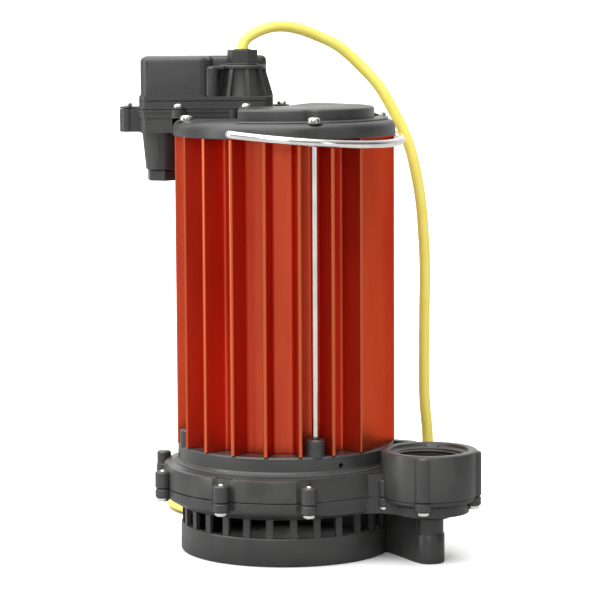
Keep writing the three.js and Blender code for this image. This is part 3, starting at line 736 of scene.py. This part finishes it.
def coil_point(turn):
    """Spirals in along the floor, climbs inside its own first layer, and spirals out on top."""
    inward = COIL_START_RADIUS - CORD_DIAMETER * turn
    back_out = COIL_END_RADIUS - CORD_DIAMETER * (COIL_TURNS - turn)
    radius = log(exp(inward) + exp(back_out))
    angle = -pi / 2 - 2 * pi * turn
    height = COIL_FLOOR + CORD_DIAMETER * blend_in((turn - 3.4) / 0.6)
    return (
        COIL_CENTRE[0] + radius * cos(angle),
        COIL_CENTRE[1] + radius * sin(angle),
        height,
    )


def tail_point(distance, height):
    heading = radians(TAIL_HEADING)
    return (
        COIL_CENTRE[0] + COIL_START_RADIUS * cos(heading) + distance * sin(heading),
        COIL_CENTRE[1] + COIL_START_RADIUS * sin(heading) - distance * cos(heading),
        height,
    )


PLUG_START = tail_point(62, 11.6)


def laid_with_plug(bm):
    """Shapes drawn along +X from the cord's end are laid where the plug lies."""
    spun(bm, -PLUG_HEADING)
    return moved(bm, PLUG_START)


def plug_section(along, half_width, half_height, roundness=3.2, count=36):
    points = []
    for k in range(count):
        angle = 2 * pi * k / count
        c, s = cos(angle), sin(angle)
        reach = (abs(c) ** roundness + abs(s) ** roundness) ** (-1 / roundness)
        points.append((along, half_width * reach * c, half_height * reach * s))
    return points


def plug():
    """Moulded plug with a ribbed strain relief, finger grips and a flat face."""
    sections = [plug_section(0.3, 4.7, 4.7, 2), plug_section(1.6, 5.2, 5.2, 2)]
    for k in range(5):
        start = 3 + 3.1 * k
        wide = 5.4 + 0.45 * k
        sections.append(plug_section(start, wide, wide, 2))
        sections.append(plug_section(start + 1.7, wide + 0.1, wide + 0.1, 2))
        sections.append(plug_section(start + 1.9, wide - 0.8, wide - 0.8, 2))
        sections.append(plug_section(start + 2.9, wide - 0.7, wide - 0.7, 2))
    sections += [
        plug_section(19.5, 8.4, 7.8, 2.4), plug_section(22, 11, 9.6, 3), plug_section(25, 12.3, 10.7),
        plug_section(31, 11.9, 10.5), plug_section(37, 12.4, 10.8), plug_section(41.2, 12.4, 10.8),
        plug_section(42, 11.7, 10.1),
    ]
    return piece("plug_moulding", [laid_with_plug(lofted(sections))], PLUG_YELLOW,
                 ["plug_body"], angle=38)


def plug_contacts():
    """Two flat blades with a hole near the tip, and a round-nosed earth pin."""
    made = []
    for number, side in ((1, 1), (2, -1)):
        offset = side * 6.35
        outline = [(42.3, -6), (56.6, -6), (58.3, -4.4), (58.3, -1.2), (56.6, 0.4), (42.3, 0.4)]
        hole = circle(1.5, 16, (54, -2.8))
        blade = slab(outline, -0.75, 0.75, [hole])
        moved(spun(blade, 90, "X"), (0, offset, 0))
        made.append(piece(f"plug_blade_{number}_formed", [laid_with_plug(blade)], BRASS,
                          [f"plug_blade_{number}"], edge=0.2))
    pin = turned([(0, 42.3), (2.4, 42.3), (2.4, 58.4), (2, 60), (1.2, 60.9), (0, 61.2)], steps=24)
    moved(spun(pin, 90, "Y"), (0, 0, 5.6))
    made.append(piece("plug_earth_pin", [laid_with_plug(pin)], BRASS, ["plug_ground_pin"]))
    return made


def tie_strap():
    """A strap round the coil's section, with its tail folded over."""
    inner, outer = 25.4, 57.2
    low, high = 0.6, 17.3
    loop = rounded_rectangle(inner, outer, low, high, 4)
    hole = rounded_rectangle(inner + 1.1, outer - 1.1, low + 0.7, high - 0.7, 3.4)
    strap = slab(loop, -5, 5, [hole])
    buckle = slab(rounded_rectangle(47, 54, high - 0.4, high + 2.2, 0.8, 3), -6, 6)
    parts = [moved(spun(part, 90, "X"), (*COIL_CENTRE, 0)) for part in (strap, buckle)]
    return piece("coil_strap", parts, RUBBER, ["cord_tie"], edge=0.25)


def power_cord():
    """The whole cord in one line: gland, arch, drop, floor, coil and free end."""
    points = list(CORD_ROUTE)
    per_turn = 16
    count = round(COIL_TURNS * per_turn)
    points += [coil_point(COIL_TURNS * k / count) for k in range(count + 1)]
    points += [tail_point(31, 12.7), tail_point(41, 12.5), tail_point(51, 12), tail_point(64, 11.6)]
    cord = wire("yellow_cord", points, CORD_DIAMETER / 2, JACKET, sides=5)
    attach(cord, "pump_body")
    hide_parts("power_cord", "cord_coil", "cord_tail")
    plug()
    plug_contacts()
    tie_strap()


# ---------------------------------------------------------------- screws


def cross_recess(size, depth, top):
    bars = []
    for x, y in ((size, size * 0.24), (size * 0.24, size)):
        bars.append(slab([(-x, -y), (x, -y), (x, y), (-x, y)], top - depth, top + 1))
    return bars


def pan_screw(head_radius, head_height, shank_radius, shank_length):
    """Pan head upward with its seat at z 0, a cross recess, and a pointed shank below."""
    h, r = head_height, head_radius
    head = turned([
        (0, 0), (r, 0), (r, h * 0.35), (r * 0.96, h * 0.6), (r * 0.84, h * 0.84), (r * 0.62, h * 0.97),
        (r * 0.35, h), (0, h),
    ], steps=32)
    head = drilled(head, *cross_recess(r * 0.55, h * 0.6, h))
    s, l = shank_radius, shank_length
    shank = turned([(0, 0.2), (s, 0.2), (s, 0.8 - l), (s * 0.6, -l), (0, -l)], steps=20)
    return gather([head, shank])


def casing_screws():
    """Eleven screws driven up from under the casing, heads down, tips just past the bosses."""
    centres = [polar(BOSS_CIRCLE, bearing) for bearing in BOSS_BEARINGS]
    centres += [around(DISCHARGE, LUG_CIRCLE, bearing) for bearing in LUG_BEARINGS]
    for number, (x, y) in enumerate(centres, 1):
        screw = moved(spun(pan_screw(4.3, 2.4, 1.95, 18.9), 180, "X"), (x, y, 37.1))
        piece(f"casing_screw_{number}", [screw], SCREW_STEEL,
              [f"volute_screw_{number}"], angle=40)


def lid_screws():
    for number, (x, y) in enumerate(BOX_SCREWS, 1):
        screw = spun(pan_screw(3.3, 2.3, 1.4, 6.4), 20 * number)
        piece(f"box_screw_{number}", [moved(screw, (x, y, 296.3))], SCREW_STEEL,
              [f"lid_screw_{number}"], angle=40)


def tie_rods():
    for number, bearing in enumerate(ROD_BEARINGS, 1):
        x, y = polar(ROD_CIRCLE, bearing)
        head = spun(pan_screw(4.4, 3.2, 2.4, 20), bearing)
        rod = turned([(0, 77), (2.1, 77), (2.4, 77.6), (2.4, 286), (0, 286)], steps=28)
        piece(f"tie_rod_{number}_polished", [moved(head, (x, y, DECK + 0.35)), moved(rod, (x, y, 0))],
              STAINLESS, [f"tie_rod_{number}"], angle=40)


# ---------------------------------------------------------------- lower casing


def flattened(bm):
    """Takes off what stands outside the flange's one flat side."""
    x, y = polar(FLAT_DISTANCE, FLAT_BEARING)
    nx, ny = polar(1, FLAT_BEARING)
    cut = bmesh.ops.bisect_plane(
        bm, geom=[*bm.verts, *bm.edges, *bm.faces], dist=1e-4, plane_co=(x, y, 0),
        plane_no=(nx, ny, 0), clear_outer=True,
    )["geom_cut"]
    bmesh.ops.holes_fill(bm, edges=[e for e in cut if isinstance(e, bmesh.types.BMEdge)], sides=0)
    bmesh.ops.recalc_face_normals(bm, faces=bm.faces)
    return bm


def recessed_at_bosses(bm, outer, half_angle=5.4, depth=1.3):
    """Draws the flange's wall back on both sides of each screw boss."""
    for vert in bm.verts:
        radius = hypot(vert.co.x, vert.co.y)
        bearing = degrees(atan2(vert.co.x, -vert.co.y))
        near = min(abs((bearing - each + 180) % 360 - 180) for each in BOSS_BEARINGS)
        if radius > outer - 1 and near < half_angle:
            vert.co.xy *= (radius - depth) / radius
    return bm


def post(centre, radius, low, high, foot, crown):
    """An upright column with chamfered ends."""
    return turned([(0, low), (radius - foot, low), (radius, low + foot), (radius, high - crown),
                   (radius - crown, high), (0, high)], centre, 32)


def screw_bosses(low, high):
    centres = [polar(BOSS_CIRCLE, bearing) for bearing in BOSS_BEARINGS]
    return [post(centre, BOSS_RADIUS, low, high, 0.5, 1.1) for centre in centres]


def lug_columns(low, high, radius):
    centres = [around(DISCHARGE, LUG_CIRCLE, bearing) for bearing in LUG_BEARINGS]
    return [post(centre, radius, low, high, 0.6, 1) for centre in centres]


def strainer_bars():
    bars = []
    for k in range(BAR_COUNT):
        bar = slab([(-2.35, -69.9), (2.35, -69.9), (2.1, -66.9), (-2.1, -66.9)], 18.4, 32.6)
        bars.append(spun(bar, FIRST_BAR + 360 * k / BAR_COUNT))
    return bars


def duct_outline(reach):
    """The volute's duct seen from above, running out and round the discharge."""
    inner = [(44, -61), (50, -57.6), (62, -56.8), (72, -62.5)]
    return inner + arc(DISCHARGE, reach, -38, 172, 22) + [(86, -4), (74, 6), (60, 10)]


def lower_casing():
    cup = turned([
        (0, 0), (69.4, 0), (70.3, 0.3), (CUP_RADIUS, 1.2), (CUP_RADIUS, 18), (70.3, 18.8), (69.6, 19),
        (66.8, 19), (66.8, 4), (0, 4),
    ], steps=160)
    flange = turned([
        (20, 31.4), (71.5, 31.4), (73.2, 31.9), (78.8, 35.2), (80.4, 36.4), (81.6, 37.6), (82, 38.6),
        (82, PARTING), (61, PARTING), (57, 38.5), (20, 38.5),
    ], steps=240)
    flange = recessed_at_bosses(flattened(flange), FLANGE_RADIUS)
    duct = slab(duct_outline(26.4), 32.8, PARTING, [circle(22, 40, DISCHARGE)])
    bowl = turned([
        (0, 26.5), (8, 27.2), (14, 29.2), (19, 31.8), (24, 36.2), (27.6, 40), (29.6, 40.8),
        (30.8, 41.2), (30.8, PARTING), (22, PARTING), (21, 39.6), (17, 35), (10, 31.8), (0, 31),
    ], DISCHARGE, 96)
    leg = turned([
        (0, 0), (8.9, 0), (9.5, 0.5), (9.7, 1.2), (9.7, 19), (9.4, 19.5), (9, 19.7), (9, 33), (0, 33),
    ], LEG, 64)
    web = slab(
        [(66, -22), (69.5, -27), (85, -57.5), (94, -54), (93, -46), (72, -13), (68, -12)], 0, 33.5
    )
    foot_rib = slab([(90.6, -52), (97.4, -52), (97.4, -44), (90.6, -44)], 20, 34)
    parts = [cup, *strainer_bars(), flange, duct, bowl, leg, web, foot_rib]
    parts += screw_bosses(37.5, PARTING) + lug_columns(37.5, PARTING, 5.6)
    piece("strainer_casting", parts, MOULDED, ["strainer_base"], edge=0.35)


def upper_casing():
    base = PARTING + 0.35
    flange = turned([
        (61, base), (81.5, base), (82, base + 0.5), (82, 57), (81.6, 58.4), (80.6, 59.1),
        (79.4, FLANGE_TOP), (76, 59.6), (75, 60.1), (61, 60.1),
    ], steps=240)
    flange = recessed_at_bosses(flattened(flange), FLANGE_RADIUS)
    neck = turned([
        (16, 57), (74.6, 57), (74.6, 60.6), (74, 61.2), (73.4, 61.4), (73, 62.2), (NECK_RADIUS, 63),
        (NECK_RADIUS, 71.4), (71.6, NECK_TOP), (49, NECK_TOP), (49, 61), (16, 61),
    ], steps=200)
    weep = spun(turned([(0, -14), (1.7, -14), (1.7, 14), (0, 14)], steps=24), 90, "X")
    x, y = polar(65, WEEP_BEARING)
    neck = drilled(neck, moved(spun(weep, WEEP_BEARING), (x, y, 65.8)))
    duct = slab(duct_outline(28.6), base, 58.9, [circle(DISCHARGE_BORE + 0.2, 48, DISCHARGE)])
    gusset = slab([(70, 9), (86, 1), (97, -19), (93, -21.5), (82, -4), (70, 3)], 57, 71.4)
    mouth = turned([
        (DISCHARGE_BORE, base), (DISCHARGE_RADIUS, base), (DISCHARGE_RADIUS, 72.6), (31.5, 73.4),
        (30.8, 73.9), (29.9, DISCHARGE_TOP), (26.9, DISCHARGE_TOP), (26, 73.6), (25.2, 71.8),
        (DISCHARGE_BORE, 70.6),
    ], DISCHARGE, 128)
    parts = [flange, neck, duct, gusset, mouth, pipe_thread(base)]
    parts += screw_bosses(base, 55.2)
    void = [(0, base - 1), (23.4, base - 1), (23.4, 71), (26.6, 74), (26.6, 76), (0, 76)]
    for column in lug_columns(base, 73.2, LUG_RADIUS):
        parts.append(drilled(column, turned(void, DISCHARGE, 96)))
    parts.append(turned([(0, 54), (4.8, 54), (4.8, 62), (3.9, 63), (0, 63)],
                        polar(BOSS_CIRCLE, TALL_BOSS_BEARING), 32))
    for bearing in ROD_BEARINGS:
        parts.append(turned(
            [(3, NECK_TOP - 0.6), (6.2, NECK_TOP - 0.6), (6.2, 82.4), (5, 83.6), (3, 83.6)],
            polar(ROD_CIRCLE, bearing), 32,
        ))
    piece("volute_casting", parts, MOULDED, ["volute_casing"], edge=0.35)


def pipe_thread(base):
    """The inside thread, one ridge wound up the socket at one radius."""
    turns, per_turn = 8, 48
    start = base + 8
    ridge = bmesh.new()
    corners = [(DISCHARGE_BORE + 0.3, 0.0), (21.4, 0.85), (21.4, 1.25), (DISCHARGE_BORE + 0.3, 2.1)]
    verts = [ridge.verts.new((radius, 0, start + height)) for radius, height in corners]
    ring = [ridge.edges.new(pair) for pair in zip(verts, verts[1:] + verts[:1])]
    bmesh.ops.contextual_create(ridge, geom=ring)
    bmesh.ops.spin(
        ridge, geom=ring + verts, cent=(0, 0, 0), axis=(0, 0, 1), dvec=(0, 0, THREAD_PITCH / per_turn),
        angle=2 * pi * turns, steps=turns * per_turn,
    )
    ends = [e for e in ridge.edges if e.is_boundary]
    bmesh.ops.holes_fill(ridge, edges=ends, sides=0)
    return moved(outward(ridge), (*DISCHARGE, 0))


# ---------------------------------------------------------------- motor housing


def housing_outline():
    """Twenty fin places round the core, two of them covered by the flat pad."""
    flank = [
        (CORE_RADIUS, 4.4), (CORE_RADIUS + 0.25, 3), (CORE_RADIUS + 1.1, 2.1), (CORE_RADIUS + 2.6, 1.65),
        (FIN_TIP_RADIUS - 0.7, 1.25), (FIN_TIP_RADIUS - 0.15, 0.95), (FIN_TIP_RADIUS, 0.4),
    ]
    points = []
    pitch = 360 / FIN_COUNT
    for k in range(FIN_COUNT):
        bearing = FIRST_FIN + pitch * k
        if PAD_FROM + 1 < bearing < PAD_TO:
            continue
        points += [polar(radius, bearing - degrees(half / radius)) for radius, half in flank]
        if abs(bearing - PAD_FROM) < 1:
            points += [polar(FIN_TIP_RADIUS, PAD_FROM), polar(FIN_TIP_RADIUS, PAD_TO - 0.6),
                       polar(FIN_TIP_RADIUS - 0.6, PAD_TO), polar(CORE_RADIUS + 1, PAD_TO + 0.4),
                       polar(CORE_RADIUS, PAD_TO + 1.6)]
        else:
            points += [polar(radius, bearing + degrees(half / radius)) for radius, half in flank[::-1]]
            points += [polar(CORE_RADIUS, bearing + pitch * part) for part in (0.4, 0.5, 0.6)]
    return points


def pad_channel():
    """The hollow left behind the flat pad."""
    middle = (PAD_FROM + PAD_TO) / 2
    wall_distance = FIN_TIP_RADIUS * cos(radians((PAD_TO - PAD_FROM) / 2)) - 3
    points = arc((0, 0), CORE_RADIUS + 0.2, 47, 85, 10)
    for bearing in (85, 47):
        points.append(polar(wall_distance / cos(radians(bearing - middle)), bearing))
    return points


def motor_housing():
    extrusion = slab(
        housing_outline(), HOUSING_BOTTOM, HOUSING_TOP, [circle(51, 96), pad_channel()]
    )
    piece("housing_extrusion", [extrusion], ANODISED, ["motor_housing"], angle=24)


# ---------------------------------------------------------------- top cover and bail


def plateau_outline():
    """The raised deck: round at the front and right, stopping short of the switch box."""
    points = [(-30, -4)]
    first = degrees(asin(-30 / PLATEAU_RADIUS))
    last = degrees(atan2(18.1, -57.2))
    steps = 120
    for k in range(steps + 1):
        bearing = first + (last - first) * k / steps
        radius = PLATEAU_RADIUS
        for rod in ROD_BEARINGS:
            aside = ROD_CIRCLE * sin(radians(bearing - rod))
            if abs(aside) < 8.6 and cos(radians(bearing - rod)) > 0:
                near = ROD_CIRCLE * cos(radians(bearing - rod)) - sqrt(8.6 ** 2 - aside ** 2)
                radius = min(radius, near)
        points.append(polar(radius, bearing))
    return points + [(12, 44), (5, 23), (-2, 2)]


def top_cover():
    shell = turned([
        (0, 284), (46, 284), (46, 272), (50.4, 272), (50.4, COVER_BOTTOM), (73.6, COVER_BOTTOM),
        (COVER_RADIUS, 278.6), (COVER_RADIUS, 282.6), (73.7, 284.4), (73, 286), (71.8, 287.2),
        (70.2, 288), (67.6, DECK - 0.2), (66, DECK), (0, DECK),
    ], steps=192)
    ledge = turned([(20, DECK - 1), (69.2, DECK - 1), (69.2, DECK + 0.3), (68.6, DECK + 0.9),
                    (64, DECK + 0.9), (20, DECK + 0.9)], steps=192)
    ledge = drilled(ledge, slab([(-75, -62), (-12, -62), (-12, 4), (14, 60), (0, 80), (-75, 80)],
                                DECK - 5, DECK + 5))
    plateau = rounded_rim(slab(plateau_outline(), DECK - 1, PLATEAU_TOP), PLATEAU_TOP, 4, 5)
    pads = [turned([(0, DECK - 0.5), (6.2, DECK - 0.5), (5.6, DECK + 0.2), (0, DECK + 0.2)],
                   polar(ROD_CIRCLE, bearing), 32) for bearing in ROD_BEARINGS]
    piece("cover_moulding", [shell, ledge, plateau, *pads], MOULDED, ["top_cover"],
          edge=0.3)


def bail():
    """Round wire: into one socket, half way round the cover, and into the other socket."""
    along = Vector((*polar(1, BAIL_BEARING), 0))
    out = Vector((*polar(1, BAIL_BEARING + 90), 0))
    out.rotate(Matrix.Rotation(radians(-BAIL_DROOP), 3, along))
    centre = Vector((0, 0, BAIL_HEIGHT))

    def at(u, v):
        return centre + u * along + v * out

    first = asin(BAIL_BEND / BAIL_RADIUS)
    straight = BAIL_RADIUS - BAIL_BEND
    end = [at(BAIL_INNER, 0), at(straight - 2, 0), at(straight, 0)]
    for a in (pi / 6, pi / 3):
        end.append(at(straight + BAIL_BEND * sin(a), BAIL_BEND * (1 - cos(a))))
    turn = [first + (pi - 2 * first) * k / 40 for k in range(41)]
    sweep = [at(BAIL_RADIUS * cos(a), BAIL_RADIUS * sin(a)) for a in turn]
    far = [centre + (point - centre).reflect(along) for point in reversed(end)]
    loop = wire("bail_wire", end + sweep + far, BAIL_WIRE, STAINLESS, sides=8)
    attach(loop, "handle")
    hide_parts("bail_handle")


# ---------------------------------------------------------------- switch box


def ear_links(low, high, half=4.6, ears=BOX_SCREWS):
    """The bridges from each screw ear into the box wall."""
    links = []
    for x, y in ears:
        inside = (min(max(x, BOX_LEFT + 6), BOX_RIGHT - 6), min(max(y, BOX_FRONT + 6), BOX_BACK - 6))
        across = Vector((y - inside[1], inside[0] - x)).normalized() * half
        links.append(slab([
            (x + across.x, y + across.y), (inside[0] + across.x, inside[1] + across.y),
            (inside[0] - across.x, inside[1] - across.y), (x - across.x, y - across.y),
        ], low, high))
    return links


def box_outline(inset=0.0):
    return rounded_rectangle(BOX_LEFT + inset, BOX_RIGHT - inset, BOX_FRONT + inset, BOX_BACK - inset,
                             7 - inset / 2)


def switch_tray():
    """A tray whose well and outer ears hang over the cover's edge, with a funnel-shaped port."""
    clear = COVER_RADIUS + 0.5
    outside = [ear for ear in BOX_SCREWS if hypot(*ear) + EAR_RADIUS > COVER_RADIUS]
    inner_ears = [post(ear, EAR_RADIUS, TRAY_SHELF + 0.1, TRAY_TOP, 0.5, 0.3)
                  for ear in BOX_SCREWS if ear not in outside]
    hanging = [slab(box_outline(0.8), TRAY_BOTTOM, TRAY_SHELF + 1)]
    hanging += [post(ear, EAR_RADIUS, TRAY_BOTTOM, TRAY_TOP, 0.5, 0.3) for ear in outside]
    hanging += ear_links(TRAY_BOTTOM, TRAY_SHELF + 0.1, ears=outside)
    under = [(0, 260), (clear, 260), (clear, TRAY_SHELF), (0, TRAY_SHELF)]
    low_parts = [drilled(part, turned(under, steps=128)) for part in hanging]
    shelf = slab(box_outline(), TRAY_SHELF, TRAY_TOP, [box_outline(3)])
    base = slab(box_outline(2.5), TRAY_SHELF, 291.2)
    rim = slab(box_outline(-0.7), 292.6, TRAY_TOP, [box_outline(2)])
    links = ear_links(TRAY_SHELF, TRAY_TOP)
    funnel = turned([
        (7.6, 253.2), (10.6, 253.2), (11.2, 253.8), (13.4, 277), (14.6, 279), (14.6, 280.5),
        (7.6, 280.5),
    ], PORT, 72)
    grooves = []
    for bearing in (-4, 86, 176, 266):
        ends = []
        for reach, half, back, height in ((12.2, 0.35, 1.4, 252), (14.6, 1.2, 2, 276)):
            x, y = around(PORT, reach, bearing)
            ends.append([(x - half, y - 0.6, height), (x + half, y - 0.6, height),
                         (x + half, y + back, height), (x - half, y + back, height)])
        grooves.append(lofted(ends))
    funnel = drilled(funnel, *grooves)
    stub = turned([(0, 288), (3.1, 288), (3.1, TRAY_TOP), (0, TRAY_TOP)], (-33.8, 10.2), 24)
    piece("tray_moulding", [*low_parts, *inner_ears, shelf, base, rim, *links, funnel, stub], MOULDED,
          ["switch_box_tray"], edge=0.3)


def lid_outline(inset=0.0):
    """The lid's high part: a long box that narrows behind the gland."""
    left, step, right = -96 + inset, -50 - inset, -12 - inset
    front, step_front, back = 11 + inset, 42 + inset, 57 - inset
    corner = 6.5
    points = arc((left + corner, front + corner), corner, 270, 360, 6)
    points += arc((step - corner, front + corner), corner, 0, 90, 6)
    points += [(step, step_front - 2), (step + 2, step_front)]
    points += [(right - 3, step_front), (right, step_front + 3), (right, back - 3), (right - 3, back)]
    points += arc((left + corner, back - corner), corner, 180, 270, 6)
    return points


def gland_boss():
    """A tapered collar with slanted ribs down to the lid's shoulder, under a thin round flange."""
    core = turned([
        (7, LID_SHOULDER - 1), (17, LID_SHOULDER - 1), (16.2, 305), (13.6, 320), (14, 321.2), (7, 321.2),
    ], GLAND, 64)
    flange = turned([
        (7, 321), (15.4, 321), (15.9, 321.5), (15.9, 323), (15.4, 323.5), (11, 323.5), (11, 323.7),
        (7, 323.7),
    ], GLAND, 96)
    parts = [core, flange]
    for bearing in range(-78, 282, 40):
        rib = slab([(11, LID_SHOULDER - 1), (20.6, LID_SHOULDER - 1), (20.2, 304.5), (15.4, 321.2),
                    (11, 321.2)], -1.3, 1.3)
        parts.append(moved(spun(spun(rib, 90, "X"), bearing), (*GLAND, 0)))
    return parts


def switch_lid():
    skirt = slab(box_outline(0.4), LID_BOTTOM, LID_SHOULDER, [box_outline(3)])
    shoulder = rounded_rim(slab(box_outline(0.4), 299.8, LID_SHOULDER), LID_SHOULDER, 2.4, 4)
    lip = slab(box_outline(-0.5), LID_BOTTOM, 296.3, [box_outline(3)])
    high = rounded_rim(slab(lid_outline(), LID_SHOULDER - 1, LID_TOP), LID_TOP, 4.2, 5)
    bead = slab(lid_outline(-0.9), LID_SHOULDER - 0.6, LID_SHOULDER + 0.9)
    foot = LID_SHOULDER - 1
    column = turned([(0, foot), (4.6, foot), (4.2, 321.6), (3.4, 322.8), (0, 322.8)], (-48.6, 15.5), 40)
    bridge = slab([(-51, 14.6), (-40, 20), (-38, 27), (-40, 44), (-54, 44), (-54, 15)], 320.9, 322.6)
    behind = slab([(-46, 27), (-36, 27), (-36, 45), (-52, 45), (-52, 22)], foot, 321)
    ear = [(1.6, LID_BOTTOM), (4.9, LID_BOTTOM), (5.2, 295.1), (5.2, 295.7), (4.9, 296), (1.6, 296)]
    ears = [turned(ear, centre, 32) for centre in BOX_SCREWS] + ear_links(LID_BOTTOM, 296, 3.9)
    parts = [skirt, shoulder, lip, high, bead, column, bridge, behind, *ears, *gland_boss()]
    piece("lid_moulding", parts, MOULDED, ["switch_box_lid"], edge=0.3)


def gland_fittings():
    """Hex gland nut with a chamfered crown, and the rubber bush that grips the cord."""
    outline = [around(GLAND, 10.5, 20 + 60 * k) for k in range(6)]
    nut = slab(outline, 323.85, 333.6, [circle(6.5, 36, GLAND)])
    collar = turned([(6.6, 323.85), (10.9, 323.85), (10.9, 324.6), (6.6, 324.6)], GLAND, 48)
    piece("gland_nut_hex", [nut, collar], MOULDED, ["gland_nut"], edge=0.7, angle=40)
    bush = turned([
        (4, 326), (6.2, 326), (6.2, 333.2), (5.6, 334), (4.6, 334.2), (4, 333.8),
    ], GLAND, 40)
    piece("gland_bush", [bush], RUBBER, ["gland_grommet"], angle=40)


def port_plug():
    outline = [around(PORT, 11, 10 + 60 * k) for k in range(6)]
    head = slab(outline, 245.8, 252.85)
    shank = turned([(0, 252), (7.3, 252), (7.3, 265), (6.6, 266), (0, 266)], PORT, 40)
    piece("port_plug_hex", [head, shank], MOULDED, ["port_plug"], edge=0.6, angle=40)


def gaskets():
    """Edges of the seals that show in the joints."""
    ring = turned([(66, 41.9), (68, 41.9), (68, 43.65), (66, 43.65)], steps=128)
    piece("casing_gasket", [ring], RUBBER, ["volute_gasket"], edge=0.15)
    seal = slab(box_outline(3.35), 291.6, 295.2, [box_outline(5.2)])
    piece("box_gasket", [seal], RUBBER, ["lid_gasket"], edge=0.2)


# ---------------------------------------------------------------- inner parts kept from the CAD


def inner_finishes():
    kept = {
        moulded_black: ["impeller"],
        polished_stainless: ["motor_shaft", "seal_spring"],
        carbon_face: ["seal_head"],
        ceramic_face: ["seal_seat"],
        cast_aluminium: ["lower_bracket", "upper_bracket", "capacitor"],
        ground_bearing_steel: [
            "lower_bearing_outer_race", "lower_bearing_inner_race",
            "upper_bearing_inner_race", "upper_bearing_outer_race",
        ],
        stacked_laminations: ["rotor_core", "stator_core"],
        varnished_copper: ["winding_lower", "winding_upper"],
        black_rubber: ["housing_seal_lower", "housing_seal_upper"],
        cream_thermoset: ["terminal_block"],
    }
    ready = {moulded_black: MOULDED, polished_stainless: STAINLESS, black_rubber: RUBBER}
    for maker, names in kept.items():
        material = ready.get(maker) or maker()
        for name in names:
            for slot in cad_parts[name].material_slots:
                slot.material = material


# ---------------------------------------------------------------- the whole scene

camera()
power_cord()
studio()
floor()
lower_casing()
upper_casing()
casing_screws()
motor_housing()
tie_rods()
top_cover()
bail()
switch_tray()
switch_lid()
lid_screws()
gland_fittings()
port_plug()
gaskets()
inner_finishes()
